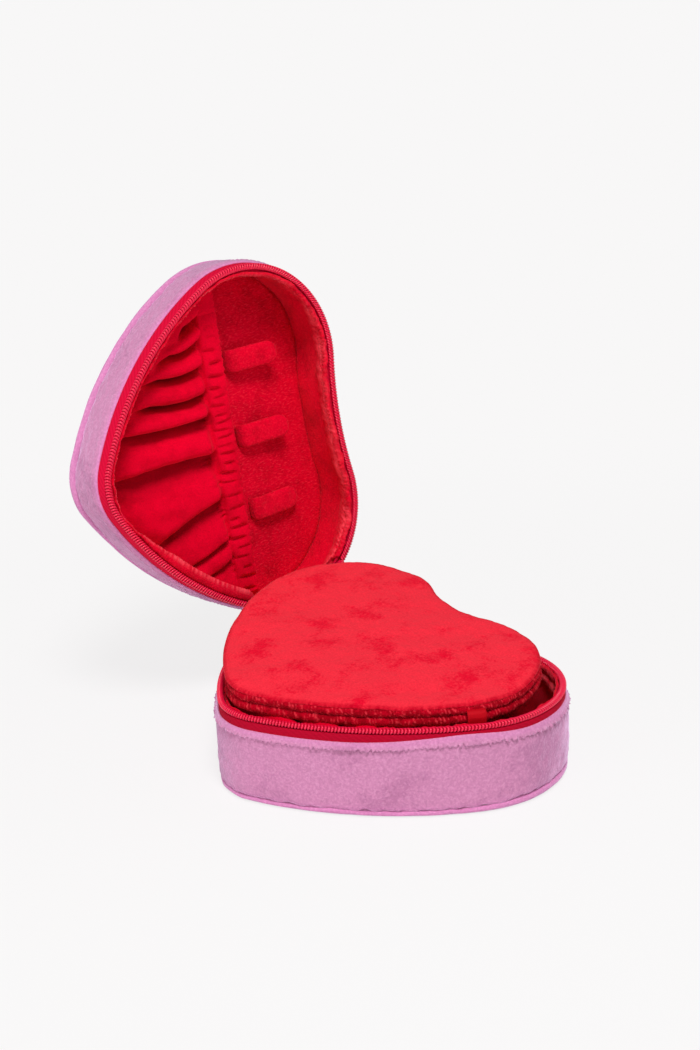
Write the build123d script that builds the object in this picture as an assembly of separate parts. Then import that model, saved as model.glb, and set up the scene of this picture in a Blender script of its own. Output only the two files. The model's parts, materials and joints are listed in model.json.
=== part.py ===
from build123d import *
import math
import os

# Heart-shaped jewellery box with a zip round its rim, standing open. Millimetres, +Z up.
# The tip of the heart points to -X and the cleft to +X, with one lobe on each side of the X axis.
# The cloth hinge is on the back lobe (+Y). The origin lies on the lobe line, on the standing surface.

# Heart outline of the outside wall
LOBE_RADIUS = 39.6
LOBE_OFFSET = 29.4  # lobe centre to the X axis
TIP_RADIUS = 24.0
TIP_REACH = 50.8  # lobe line to the centre of the tip arc
FLANK_RADIUS = 118.5  # gentle bulge of the sides between tip and lobes
CLEFT_RADIUS = 145.0

# Layers of the two shells
BASE_DEPTH = 32.0  # bottom to the plane in which the zip closes
LID_DEPTH = 25.0
COVER = 1.0
BOARD = 1.1
LINING = 1.1
FLOOR_BOARD = 1.4
FLOOR_LINING = 1.2
BOTTOM_TUCK = 1.2  # the bottom cover is drawn in from the side wall
BOTTOM_ROUND = 0.9
SEAM_HEIGHT = 2.8  # bottom seam above the standing surface
WELT_HEIGHT = 1.2
HEM_HEIGHT = 3.4
LAYER_PLAY = 0.1

# Zip
ZIP_BAND = 5.1  # top of the hem to the closing plane
TAPE = 0.6
COIL_INSET = 1.7  # outline to the middle of the coil
COIL_WIDTH = 1.7
COIL_HEIGHT = 2.0
COIL_ROUND = 0.6
LINING_DROP = 0.3  # lining edge below the coil
STOP_TURN = 2.6  # degrees of the lobe arc that one end stop covers
STOP_PROUD = 0.25

# Cloth hinge on the back lobe
HINGE_TURN = 5.2  # degrees between the hinge line and the X axis
HINGE_INSET = 0.8
HINGE_HALF_TURN = 28.0  # degrees of the lobe arc without a zip, each side
HINGE_GAP = 1.2  # each half of the hinge cloth to the closing plane
LID_OPEN_ANGLE = 95.0

# Zip slider, parked at the cleft end of the hinge
SLIDER_TURN = 16.0  # degrees of the lobe arc that the parked slider takes up
SLIDER_LENGTH = 8.4
SLIDER_WIDTH = 4.6
SLIDER_RISE = 1.7  # above the closing plane
SLIDER_SINK = 3.2  # below the closing plane
SLIDER_ROUND = 0.8
SLIDER_PLAY = 0.25
BAIL_REACH = 2.2  # outer plate to the middle of the bail
BAIL_RADIUS = 0.7
BAIL_SPAN = 5.6
PULL_WIDTH = 3.4
PULL_LENGTH = 17.0
PULL_THICKNESS = 1.2
EYE_PLAY = 0.25
EYE_WALL = 0.8

# Compartments of the base
WALL_PLAY = 0.3
DIVIDER = 2.4
DIVIDER_DROP = 5.4  # closing plane down to the top of the dividers
CROSS_DIVIDER_X = -18.6  # face towards the lobes
BED_HEIGHT = 14.0  # foam bed under the ring bars
RING_BAR_COUNT = 5
RING_BAR_GAP = 0.5  # slit that grips a ring
RING_TIP_ROOM = 4.1  # last bar to the lining at the tip
RING_BAR_DROP = 0.4  # closing plane down to the top of the bars
RING_BAR_PLAY = 0.2

# Padded flap over the base
FLAP_INSET = 6.2
FLAP_CLEFT_RADIUS = 36.0
FLAP_PAD = 3.0
FLAP_BOARD = 0.8
FLAP_CROWN_ROUND = 1.6
PIPING_WIDTH = 2.2
PIPING_HEIGHT = 2.6
PIPING_ROUND = 1.0
FLAP_SHIFT_X = -2.2
FLAP_SHIFT_Y = 0.8
FLAP_RISE = 12.2  # closing plane up to the middle of the flap's top face
FLAP_TILT_X = 5.2  # degrees, back raised
FLAP_TILT_Y = -2.4  # degrees, cleft end raised
RIBBON_WIDTH = 6.4
RIBBON_THICKNESS = 0.6
RIBBON_DROP = 7.6
RIBBON_TUCK = 2.4
RIBBON_STAND_OFF = 0.4
RIBBON_BEARING = -111.0  # degrees round the front lobe

# Cloth strip that carries the flap's back edge
STRIP_INSET = 3.6
STRIP = 0.6
STRIP_BEARING = 90.0  # degrees round the back lobe
STRIP_HALF_TURN = 20.0
STRIP_DROP = 14.0  # closing plane down to the foot of the strip
STRIP_SHELF = 3.4  # width of the turned-in top
STRIP_PLAY = 0.3

# Gathered pocket in the tip half of the lid
POCKET_MOUTH_X = -4.5
POCKET_MOUTH_HEIGHT = 8.2  # roof above the lid lining, on the X axis
POCKET_TIP_HEIGHT = 2.6
POCKET_LEAN_SHARE = 0.085  # the roof falls by this share of the way towards the hinge
POCKET_SHEET = 1.1
CASING_WIDTH = 10.0
CASING = 1.9
ELASTIC = 0.7
ELASTIC_WIDTH = 6.5

# Necklace tabs beside the pocket
TAB_COUNT = 3
TAB_PITCH = 30.0
TAB_ROOT_X = 0.2
TAB_LENGTH = 21.5
TAB_WIDTH = 10.0
TAB_STRAP = 1.6
TAB_GAP = 2.8  # lining to the underside of the strap
TAB_ROUND = 4.2
SNAP_REACH = 15.0  # sewn end to the press stud
SNAP_RADIUS = 3.5
STUD_FLANGE = 0.6
STUD_RADIUS = 1.2
STUD_HEIGHT = 2.0
SOCKET_HEIGHT = 1.5
SOCKET_BORE = 1.7

CUT_OVERRUN = 5.0  # how far a cutter reaches past what it cuts

# Levels and insets that several pieces share
BOARD_FACE = COVER
LINING_FACE = COVER + BOARD
INNER_FACE = COVER + BOARD + LINING
FLOOR_BUILD = COVER + FLOOR_BOARD + FLOOR_LINING
COIL_OUTER = COIL_INSET - COIL_WIDTH / 2
COIL_INNER = COIL_INSET + COIL_WIDTH / 2
HINGE_BEARING = 90.0 + HINGE_TURN
ZIP_START = HINGE_BEARING - HINGE_HALF_TURN
ZIP_END = HINGE_BEARING + HINGE_HALF_TURN
LID_ZIP_START = ZIP_START - SLIDER_TURN - STOP_TURN  # clear of the parked slider
FAR = LOBE_RADIUS + LOBE_OFFSET + TIP_REACH
FLAP_THICKNESS = 2 * FLAP_PAD + FLAP_BOARD
FLAP_TOP = BASE_DEPTH + FLAP_RISE
STRIP_FOOT = BASE_DEPTH - STRIP_DROP
RING_BAR_TOP = BASE_DEPTH - RING_BAR_DROP
RING_ROOM_START = CROSS_DIVIDER_X - DIVIDER - RING_BAR_PLAY
RING_ROOM_END = RING_TIP_ROOM + INNER_FACE + WALL_PLAY - TIP_REACH - TIP_RADIUS
RING_BAR_PITCH = (RING_ROOM_START - RING_ROOM_END + RING_BAR_GAP) / RING_BAR_COUNT
RING_BAR_WIDTH = RING_BAR_PITCH - RING_BAR_GAP

HINGE_ALONG = Vector(math.cos(math.radians(HINGE_TURN)), math.sin(math.radians(HINGE_TURN)), 0)
HINGE_OUT = Vector(-HINGE_ALONG.Y, HINGE_ALONG.X, 0)
HINGE_POINT = Vector(0, LOBE_OFFSET, BASE_DEPTH) + HINGE_OUT * (LOBE_RADIUS - HINGE_INSET)
FLAP_PLACE = Location((FLAP_SHIFT_X, FLAP_SHIFT_Y, FLAP_TOP), (FLAP_TILT_X, FLAP_TILT_Y, 0))


def along(start, goal):
    """Unit vector from one point to another."""
    return (goal - start).normalized()


def minor_arc(centre, radius, start, end):
    """Arc of under half a circle between two points of a circle."""
    middle = centre + (along(centre, start) + along(centre, end)).normalized() * radius
    return ThreePointArc(start, middle, end)


def flank_centre():
    """Centre of the flank circle of the back side, which touches the tip and lobe circles from outside."""
    tip = Vector(-TIP_REACH, 0)
    lobe = Vector(0, LOBE_OFFSET)
    to_tip = FLANK_RADIUS - TIP_RADIUS
    to_lobe = FLANK_RADIUS - LOBE_RADIUS
    span = (lobe - tip).length
    run = (to_tip**2 - to_lobe**2 + span**2) / (2 * span)
    side = math.sqrt(to_tip**2 - run**2)
    ahead = along(tip, lobe)
    return tip + ahead * run + Vector(ahead.Y, -ahead.X) * side


def heart_face(inset, cleft_radius=CLEFT_RADIUS):
    """Heart face parallel to the outside outline, at a distance inside it."""
    tip = Vector(-TIP_REACH, 0)
    lobe = Vector(0, LOBE_OFFSET)
    flank = flank_centre()
    cleft = Vector(math.sqrt((LOBE_RADIUS + cleft_radius) ** 2 - LOBE_OFFSET**2), 0)
    tip_end = tip + along(flank, tip) * (TIP_RADIUS - inset)
    lobe_start = lobe + along(flank, lobe) * (LOBE_RADIUS - inset)
    lobe_end = lobe + along(lobe, cleft) * (LOBE_RADIUS - inset)

    def flip(point):
        return Vector(point.X, -point.Y)

    edges = [
        minor_arc(tip, TIP_RADIUS - inset, flip(tip_end), tip_end),
        minor_arc(flank, FLANK_RADIUS - inset, tip_end, lobe_start),
        minor_arc(lobe, LOBE_RADIUS - inset, lobe_start, lobe_end),
        minor_arc(cleft, cleft_radius + inset, lobe_end, flip(lobe_end)),
        minor_arc(flip(lobe), LOBE_RADIUS - inset, flip(lobe_end), flip(lobe_start)),
        minor_arc(flip(flank), FLANK_RADIUS - inset, flip(lobe_start), flip(tip_end)),
    ]
    return Face(Wire(edges))


def heart_plate(inset, low, high, cleft_radius=CLEFT_RADIUS):
    """Heart-shaped plate between two levels."""
    return extrude(Pos(0, 0, low) * heart_face(inset, cleft_radius), high - low, dir=(0, 0, 1))


def heart_ring(outer, inner, low, high, cleft_radius=CLEFT_RADIUS):
    """Heart-shaped wall between two insets and two levels."""
    ring = heart_plate(outer, low, high, cleft_radius)
    return ring - heart_plate(inner, low - CUT_OVERRUN, high + CUT_OVERRUN, cleft_radius)


def rounded_edges(solid, levels, radius):
    """Fillet all edges of a plate or ring that lie at the given levels."""
    edges = ShapeList()
    for level in levels:
        edges += solid.edges().filter_by_position(Axis.Z, level, level)
    return fillet(edges, radius)


def lobe_sector(start, end, low, high):
    """Wedge from the centre of the back lobe outwards, between two bearings in degrees."""
    centre = Vector(0, LOBE_OFFSET)
    corners = [centre]
    for bearing in (start, (start + end) / 2, end):
        angle = math.radians(bearing)
        corners.append(centre + Vector(math.cos(angle), math.sin(angle)) * FAR)
    face = Face(Polyline(*corners, close=True).wire())
    return extrude(Pos(0, 0, low) * face, high - low, dir=(0, 0, 1))


def slab(axis_low, axis_high, across_low, across_high, low, high):
    """Box between limits along X, Y and Z."""
    size = (axis_high - axis_low, across_high - across_low, high - low)
    middle = ((axis_low + axis_high) / 2, (across_low + across_high) / 2, (low + high) / 2)
    return Pos(*middle) * Box(*size)


def end_stop(start, end):
    """Crimped stop at one end of a zip coil."""
    ring = heart_ring(COIL_OUTER - STOP_PROUD, COIL_INNER + STOP_PROUD, -COIL_HEIGHT, 0)
    return ring & lobe_sector(start, end, -COIL_HEIGHT, 0)


def shell(depth, zip_start, prefix, floor_word, lining_word):
    """One half of the box with its rim in the plane Z = 0 and its floor below it."""
    floor = -depth
    seam = floor + SEAM_HEIGHT
    hem_top = -ZIP_BAND
    hem_low = hem_top - HEM_HEIGHT
    board_top = floor + COVER + FLOOR_BOARD
    tuck_face = BOTTOM_TUCK + COVER
    gap_low = -ZIP_BAND - CUT_OVERRUN
    tape_gap = lobe_sector(zip_start + STOP_TURN, ZIP_END - STOP_TURN, gap_low, CUT_OVERRUN)
    coil_gap = lobe_sector(zip_start, ZIP_END, gap_low, CUT_OVERRUN)
    hinge_zone = lobe_sector(ZIP_START + STOP_TURN, ZIP_END - STOP_TURN, gap_low, CUT_OVERRUN)

    tray = rounded_edges(heart_plate(BOTTOM_TUCK, floor, seam), [floor], BOTTOM_ROUND)
    coil = rounded_edges(heart_ring(COIL_OUTER, COIL_INNER, -COIL_HEIGHT, 0), [0], COIL_ROUND)
    stops = [
        end_stop(zip_start, zip_start + STOP_TURN),
        end_stop(ZIP_END - STOP_TURN, ZIP_END),
    ]
    return {
        f"{prefix}_{floor_word}_cover": tray - heart_plate(tuck_face, floor + COVER, seam + CUT_OVERRUN),
        f"{prefix}_{floor_word}_board": heart_plate(tuck_face + LAYER_PLAY, floor + COVER, board_top),
        f"{prefix}_{floor_word}_welt": heart_ring(0, BOARD_FACE, seam, seam + WELT_HEIGHT),
        f"{prefix}_side_wall": heart_ring(0, BOARD_FACE, seam + WELT_HEIGHT, hem_low),
        f"{prefix}_side_hem": heart_ring(0, BOARD_FACE, hem_low, hem_top),
        f"{prefix}_wall_board": heart_ring(BOARD_FACE, LINING_FACE, seam, hem_top),
        f"{prefix}_lining_{lining_word}": heart_plate(tuck_face + LAYER_PLAY, board_top, floor + FLOOR_BUILD),
        f"{prefix}_lining_wall": heart_ring(
            LINING_FACE, INNER_FACE, floor + FLOOR_BUILD, -COIL_HEIGHT - LINING_DROP
        ),
        f"{prefix}_zip_tape": heart_ring(BOARD_FACE, BOARD_FACE + TAPE, hem_top, -COIL_HEIGHT) - tape_gap,
        f"{prefix}_zip_coil": coil - coil_gap,
        f"{prefix}_zip_stops": Part() + stops,
        f"{prefix}_hinge_half": heart_ring(0, BOARD_FACE, hem_top, -HINGE_GAP) & hinge_zone,
    }


def slider_place():
    """Middle of the parked slider on the coil, with X pointing out of the box and Y along the zip."""
    bearing = ZIP_START - SLIDER_TURN / 2
    angle = math.radians(bearing)
    radius = LOBE_RADIUS - COIL_INSET
    return Location(
        (radius * math.cos(angle), LOBE_OFFSET + radius * math.sin(angle), 0), (0, 0, bearing)
    )


def bail_centre():
    """Middle of the slider's bail, seen from the slider's own place."""
    return (SLIDER_WIDTH / 2 + BAIL_REACH, 0, (SLIDER_RISE - SLIDER_SINK) / 2)


def zip_slider():
    """Slider round the base coil, with its bail on the outer plate."""
    height = SLIDER_RISE + SLIDER_SINK
    body = Pos(0, 0, (SLIDER_RISE - SLIDER_SINK) / 2) * Box(SLIDER_WIDTH, SLIDER_LENGTH, height)
    body = fillet(body.edges().filter_by(Axis.Z), SLIDER_ROUND)
    reach = BAIL_REACH + BAIL_RADIUS
    post_size = (reach, 2 * BAIL_RADIUS, 2 * BAIL_RADIUS)
    for side in (-1, 1):
        post_y = side * (BAIL_SPAN / 2 + BAIL_RADIUS)
        body += Pos(SLIDER_WIDTH / 2 + reach / 2, post_y, bail_centre()[2]) * Box(*post_size)
    body += Pos(*bail_centre()) * Rot(90, 0, 0) * Cylinder(BAIL_RADIUS, BAIL_SPAN + 2 * BAIL_RADIUS)
    coil_room = heart_ring(
        COIL_OUTER - SLIDER_PLAY, COIL_INNER + SLIDER_PLAY, -COIL_HEIGHT - SLIDER_PLAY, SLIDER_PLAY
    )
    tape_room = heart_ring(
        BOARD_FACE - SLIDER_PLAY, BOARD_FACE + TAPE + SLIDER_PLAY, -ZIP_BAND, -COIL_HEIGHT
    )
    return slider_place() * body - coil_room - tape_room


def zip_pull():
    """Flat pull that hangs from the bail by its eye."""
    eye_bore = BAIL_RADIUS + EYE_PLAY
    eye = eye_bore + EYE_WALL
    tag = Pos(0, 0, -(PULL_LENGTH + eye_bore) / 2) * Box(PULL_THICKNESS, PULL_WIDTH, PULL_LENGTH - eye_bore)
    tag = fillet(tag.edges().filter_by(Axis.X).group_by(Axis.Z)[0], PULL_WIDTH / 3)
    tag += Rot(90, 0, 0) * Cylinder(eye, PULL_WIDTH)
    tag -= Rot(90, 0, 0) * Cylinder(eye_bore, PULL_WIDTH + CUT_OVERRUN)
    return slider_place() * Pos(*bail_centre()) * tag


def slider_room():
    """Space that the slider's inner plate takes out of the lining edge."""
    half = SLIDER_TURN / 2 + STOP_TURN
    middle = ZIP_START - SLIDER_TURN / 2
    return lobe_sector(middle - half, middle + half, -SLIDER_SINK - WALL_PLAY, CUT_OVERRUN)


def ring_bar(middle_x, low):
    """Foam bar with a round top that reaches from lining to lining."""
    half = RING_BAR_WIDTH / 2
    shoulder = RING_BAR_TOP - half
    profile = Polyline((-half, shoulder), (-half, low), (half, low), (half, shoulder))
    crown = ThreePointArc((half, shoulder), (0, RING_BAR_TOP), (-half, shoulder))
    face = Plane.XZ * Face(Wire([*profile.edges(), crown]))
    bar = Pos(middle_x, 0, 0) * extrude(face, FAR, both=True)
    return bar & heart_plate(INNER_FACE + WALL_PLAY, low, RING_BAR_TOP)


def compartments():
    """Dividers and ring bars that stand on the lining floor of the base."""
    low = FLOOR_BUILD
    top = BASE_DEPTH - DIVIDER_DROP
    room = heart_plate(INNER_FACE + WALL_PLAY, low, top)
    pieces = {
        "cross_divider": room & slab(CROSS_DIVIDER_X - DIVIDER, CROSS_DIVIDER_X, -FAR, FAR, low, top),
        "lobe_divider": room & slab(CROSS_DIVIDER_X, FAR, -DIVIDER / 2, DIVIDER / 2, low, top),
    }
    bed = heart_plate(INNER_FACE + WALL_PLAY, low, low + BED_HEIGHT)
    pieces["ring_bar_bed"] = bed & slab(-FAR, RING_ROOM_START, -FAR, FAR, low, low + BED_HEIGHT)
    for index in range(RING_BAR_COUNT):
        middle_x = RING_ROOM_END + RING_BAR_WIDTH / 2 + index * RING_BAR_PITCH
        pieces[f"ring_bar_{index + 1}"] = ring_bar(middle_x, low + BED_HEIGHT)
    return pieces


def flap():
    """Padded flap in its own frame: top face at Z = 0, outline like the box's, with a deeper cleft."""
    pad_inset = FLAP_INSET + PIPING_WIDTH
    board_top = -FLAP_PAD
    board_low = board_top - FLAP_BOARD
    low = -FLAP_THICKNESS

    def piping(bottom):
        ring = heart_ring(FLAP_INSET, pad_inset, bottom, bottom + PIPING_HEIGHT, FLAP_CLEFT_RADIUS)
        outline = heart_plate(FLAP_INSET, bottom, bottom + PIPING_HEIGHT, FLAP_CLEFT_RADIUS)
        return ring & rounded_edges(outline, [bottom, bottom + PIPING_HEIGHT], PIPING_ROUND)

    top_pad = heart_plate(pad_inset, board_top, 0, FLAP_CLEFT_RADIUS)
    low_pad = heart_plate(pad_inset, low, board_low, FLAP_CLEFT_RADIUS)
    pieces = {
        "flap_top_pad": rounded_edges(top_pad, [0], FLAP_CROWN_ROUND),
        "flap_board": heart_plate(FLAP_INSET + RIBBON_TUCK, board_low, board_top, FLAP_CLEFT_RADIUS),
        "flap_bottom_pad": rounded_edges(low_pad, [low], FLAP_CROWN_ROUND),
        "flap_top_piping": piping(board_top),
        "flap_bottom_piping": piping(board_low - PIPING_HEIGHT),
        "flap_pull_ribbon": pull_ribbon((board_top + board_low) / 2),
    }
    return {name: FLAP_PLACE * piece for name, piece in pieces.items()}


def pull_ribbon(level):
    """Ribbon sewn between the two pipings, turned down over the lower one."""
    half = RIBBON_THICKNESS / 2
    hang_in = RIBBON_STAND_OFF
    hang_out = RIBBON_STAND_OFF + RIBBON_THICKNESS
    sides = (-RIBBON_WIDTH / 2, RIBBON_WIDTH / 2)
    tongue = slab(-RIBBON_TUCK, hang_out, *sides, level - half, level + half)
    hang = slab(hang_in, hang_out, *sides, level - RIBBON_DROP, level + half)
    angle = math.radians(RIBBON_BEARING)
    radius = LOBE_RADIUS - FLAP_INSET
    place = Location(
        (radius * math.cos(angle), -LOBE_OFFSET + radius * math.sin(angle), 0), (0, 0, RIBBON_BEARING)
    )
    return place * (tongue + hang)


def flap_hinge_strip():
    """Strip that rises inside the back lining and turns in under the flap's back edge."""
    back_edge = LOBE_OFFSET + LOBE_RADIUS - FLAP_INSET
    reach = (LOBE_RADIUS - FLAP_INSET) * math.sin(math.radians(STRIP_HALF_TURN))
    corner = FLAP_PLACE * Pos(-reach, back_edge - STRIP_SHELF, -FLAP_THICKNESS)
    top = corner.position.Z - STRIP_PLAY
    zone = lobe_sector(
        STRIP_BEARING - STRIP_HALF_TURN, STRIP_BEARING + STRIP_HALF_TURN, STRIP_FOOT, top
    )
    wall = heart_ring(STRIP_INSET, STRIP_INSET + STRIP, STRIP_FOOT, top)
    shelf = heart_ring(STRIP_INSET, STRIP_INSET + STRIP_SHELF, top - STRIP, top)
    return (wall + shelf) & zone


def pocket(floor):
    """Gathered pocket over the tip half of the lid lining: a sloping roof with an open mouth."""
    inset = INNER_FACE + WALL_PLAY
    roof_top = floor + POCKET_MOUTH_HEIGHT
    ceiling = floor + LID_DEPTH
    fall = POCKET_MOUTH_HEIGHT - POCKET_TIP_HEIGHT
    run = POCKET_MOUTH_X + TIP_REACH + TIP_RADIUS
    up = Vector(-fall / run, POCKET_LEAN_SHARE, 1)

    def under_roof(wall, drop, end_x):
        block = heart_plate(inset + wall, floor, ceiling) & slab(-FAR, end_x, -FAR, FAR, floor, ceiling)
        roof = Plane(origin=(POCKET_MOUTH_X, 0, roof_top - drop), z_dir=up)
        return split(block, bisect_by=roof, keep=Keep.BOTTOM)

    casing_x = POCKET_MOUTH_X - CASING_WIDTH
    margin = (CASING_WIDTH - ELASTIC_WIDTH) / 2
    skin = (CASING - ELASTIC) / 2
    sheet = under_roof(0, 0, casing_x) - under_roof(POCKET_SHEET, POCKET_SHEET, casing_x + CUT_OVERRUN)
    casing = under_roof(0, 0, POCKET_MOUTH_X) - slab(-FAR, casing_x, -FAR, FAR, floor, ceiling)
    casing -= under_roof(CASING, CASING, POCKET_MOUTH_X + CUT_OVERRUN)
    elastic_room = slab(casing_x + margin, POCKET_MOUTH_X - margin, -FAR, FAR, floor, ceiling)
    elastic = under_roof(CASING, skin, FAR) - under_roof(0, skin + ELASTIC, FAR)
    elastic = elastic & elastic_room
    return {"pocket_sheet": sheet, "pocket_casing": casing - elastic, "pocket_elastic": elastic}


def necklace_tab(middle_y, floor):
    """Strap on a short leg that is sewn into the lining, with a round free end."""
    across = (middle_y - TAB_WIDTH / 2, middle_y + TAB_WIDTH / 2)
    under = floor + TAB_GAP
    strap = slab(TAB_ROOT_X, TAB_ROOT_X + TAB_LENGTH, *across, under, under + TAB_STRAP)
    strap = fillet(strap.edges().filter_by(Axis.Z).group_by(Axis.X)[-1], TAB_ROUND)
    return strap + slab(TAB_ROOT_X, TAB_ROOT_X + TAB_STRAP, *across, floor, under)


def snap_socket(middle_y, floor):
    """Press-stud half under the strap."""
    disc = Cylinder(SNAP_RADIUS, SOCKET_HEIGHT) - Cylinder(SOCKET_BORE, SOCKET_HEIGHT + CUT_OVERRUN)
    return Pos(TAB_ROOT_X + SNAP_REACH, middle_y, floor + TAB_GAP - SOCKET_HEIGHT / 2) * disc


def snap_stud(middle_y, floor):
    """Press-stud half on the lining."""
    stud = Pos(0, 0, STUD_FLANGE / 2) * Cylinder(SNAP_RADIUS, STUD_FLANGE)
    stud += Pos(0, 0, STUD_HEIGHT / 2) * Cylinder(STUD_RADIUS, STUD_HEIGHT)
    return Pos(TAB_ROOT_X + SNAP_REACH, middle_y, floor) * stud


def tab_places():
    """Middle of each necklace tab along Y."""
    return [(index - (TAB_COUNT - 1) / 2) * TAB_PITCH for index in range(TAB_COUNT)]


def lid_fittings():
    """Pocket, tabs and press studs on the lid lining, in the frame of the lid shell."""
    floor = -LID_DEPTH + FLOOR_BUILD
    pieces = pocket(floor)
    studs = []
    for number, middle_y in enumerate(tab_places(), start=1):
        pieces[f"necklace_tab_{number}"] = necklace_tab(middle_y, floor)
        pieces[f"tab_snap_socket_{number}"] = snap_socket(middle_y, floor)
        studs.append(snap_stud(middle_y, floor))
    pieces["tab_snap_studs"] = Part() + studs
    return pieces


def open_lid(piece):
    """Turn a piece of the lid shell over onto the rim and open it about the hinge line."""
    closed = Pos(0, 0, BASE_DEPTH) * mirror(piece, about=Plane.XY)
    return closed.rotate(Axis(HINGE_POINT, HINGE_ALONG), -LID_OPEN_ANGLE)


def box():
    """All pieces of the box by name, standing open."""
    base = shell(BASE_DEPTH, ZIP_START, "base", "bottom", "floor")
    base["base_lining_wall"] -= slider_room()
    base["zip_slider"] = zip_slider()
    base["zip_pull"] = zip_pull()
    pieces = {name: Pos(0, 0, BASE_DEPTH) * piece for name, piece in base.items()}
    pieces.update(compartments())
    pieces["flap_hinge_strip"] = flap_hinge_strip()
    pieces.update(flap())
    lid = shell(LID_DEPTH, LID_ZIP_START, "lid", "top", "panel")
    lid.update(lid_fittings())
    pieces.update({name: open_lid(piece) for name, piece in lid.items()})
    return pieces


os.makedirs("parts", exist_ok=True)
for node, shape in box().items():
    export_step(shape, f"parts/{node}.step")
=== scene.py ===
"""Heart-shaped jewellery box in pink and red plush, standing open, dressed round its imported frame."""

import json
import math
from collections import namedtuple

import bmesh
import bpy
import numpy as np
from bpy.props import FloatProperty, FloatVectorProperty, IntProperty, PointerProperty
from mathutils import Matrix, Vector


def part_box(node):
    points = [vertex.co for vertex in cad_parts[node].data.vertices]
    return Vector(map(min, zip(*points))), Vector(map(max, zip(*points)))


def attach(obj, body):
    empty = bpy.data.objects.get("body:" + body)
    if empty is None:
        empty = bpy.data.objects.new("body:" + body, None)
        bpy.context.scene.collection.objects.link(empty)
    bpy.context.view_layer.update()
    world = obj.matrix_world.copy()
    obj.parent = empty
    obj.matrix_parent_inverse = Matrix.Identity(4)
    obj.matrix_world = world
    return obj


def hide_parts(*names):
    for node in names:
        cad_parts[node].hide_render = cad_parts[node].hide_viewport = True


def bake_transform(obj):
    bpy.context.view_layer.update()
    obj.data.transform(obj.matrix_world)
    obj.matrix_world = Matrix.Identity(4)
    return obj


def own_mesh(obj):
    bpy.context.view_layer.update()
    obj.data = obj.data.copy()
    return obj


bl_info = {
    "name": "Heart Jewellery Box",
    "version": (1, 0, 0),
    "blender": (4, 5, 0),
    "location": "View3D > Sidebar > Heart Box",
    "description": "Plush heart-shaped jewellery box with a coil zip, a padded flap and a gathered pocket",
    "category": "Object",
}

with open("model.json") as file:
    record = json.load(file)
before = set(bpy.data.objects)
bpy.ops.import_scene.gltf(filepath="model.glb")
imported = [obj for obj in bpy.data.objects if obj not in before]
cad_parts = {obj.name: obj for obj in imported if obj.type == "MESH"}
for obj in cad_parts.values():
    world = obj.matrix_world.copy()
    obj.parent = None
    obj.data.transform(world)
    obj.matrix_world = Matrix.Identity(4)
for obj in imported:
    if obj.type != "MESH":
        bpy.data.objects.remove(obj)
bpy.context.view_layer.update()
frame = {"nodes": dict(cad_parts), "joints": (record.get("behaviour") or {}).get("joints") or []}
JOINTS = {joint["name"]: joint for joint in frame["joints"]}
MM = 0.001

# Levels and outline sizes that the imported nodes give
WALL_LOW, WALL_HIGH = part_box("base_side_wall")
LOBE_RADIUS = WALL_HIGH.x
LOBE_OFFSET = WALL_HIGH.y - LOBE_RADIUS
TIP_END = -WALL_LOW.x
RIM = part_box("base_zip_coil")[1].z
BASE_DEPTH = RIM
LID_DEPTH = 25 * MM
FLOOR_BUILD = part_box("base_lining_floor")[1].z
HEM_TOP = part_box("base_side_hem")[1].z - RIM
HEM_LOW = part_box("base_side_hem")[0].z - RIM
COIL_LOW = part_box("base_zip_coil")[0].z - RIM


def linear(code):
    """Linear colour of an sRGB hex value such as 'D795C0'."""
    parts = [int(code[start : start + 2], 16) / 255 for start in (0, 2, 4)]
    return tuple(part / 12.92 if part <= 0.04045 else ((part + 0.055) / 1.055) ** 2.4 for part in parts)


def length(name, default, description):
    """Length property given in millimetres."""
    return FloatProperty(
        name=name, description=description, default=default * MM, subtype="DISTANCE", unit="LENGTH"
    )


def degrees(name, default, description):
    """Angle property given in degrees."""
    return FloatProperty(name=name, description=f"{description}, in degrees", default=default)


def colour(name, code, description):
    """Colour property given as an sRGB hex value."""
    return FloatVectorProperty(
        name=name, description=description, default=linear(code), subtype="COLOR", size=3, min=0, max=1
    )


class HeartOutlineSizes(bpy.types.PropertyGroup):
    """Arcs of the heart that the frame's boxes don't give."""

    tip_radius: length("Tip radius", 24, "Radius of the round tip")
    flank_radius: length("Flank radius", 118.5, "Gentle bulge between tip and lobes")
    cleft_radius: length("Cleft radius", 145, "Hollow between the lobes of the box")
    flap_cleft_radius: length("Flap cleft radius", 36, "Deeper hollow between the lobes of the flap")


class ZipSizes(bpy.types.PropertyGroup):
    """Coil zip round the rim."""

    pitch: length("Coil pitch", 1.17, "One turn of the nylon coil")
    wire: length("Wire radius", 0.39, "Radius of the nylon wire")
    coil_inset: length("Coil inset", 1.7, "Outline to the middle of the coil")
    coil_width: length("Coil width", 2.6, "Coil measured across the rim")
    coil_height: length("Coil height", 2.15, "Coil measured down from the rim")
    lid_curl: length("Lid curl", 0.5, "How far the open lid's zip curls in")
    lean: length("Lean", 0.45, "How far the top of each turn is pushed along the rim")
    bow: length("Bow", 0.3, "How far the outer face of each turn bows along the rim")
    start: degrees("Hinge end", 67.2, "Bearing where the base zip starts")
    lid_start: degrees("Lid hinge end", 48.6, "Bearing where the lid's coil starts")
    end: degrees("Far end", 123.2, "Bearing where both zips end")


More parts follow.
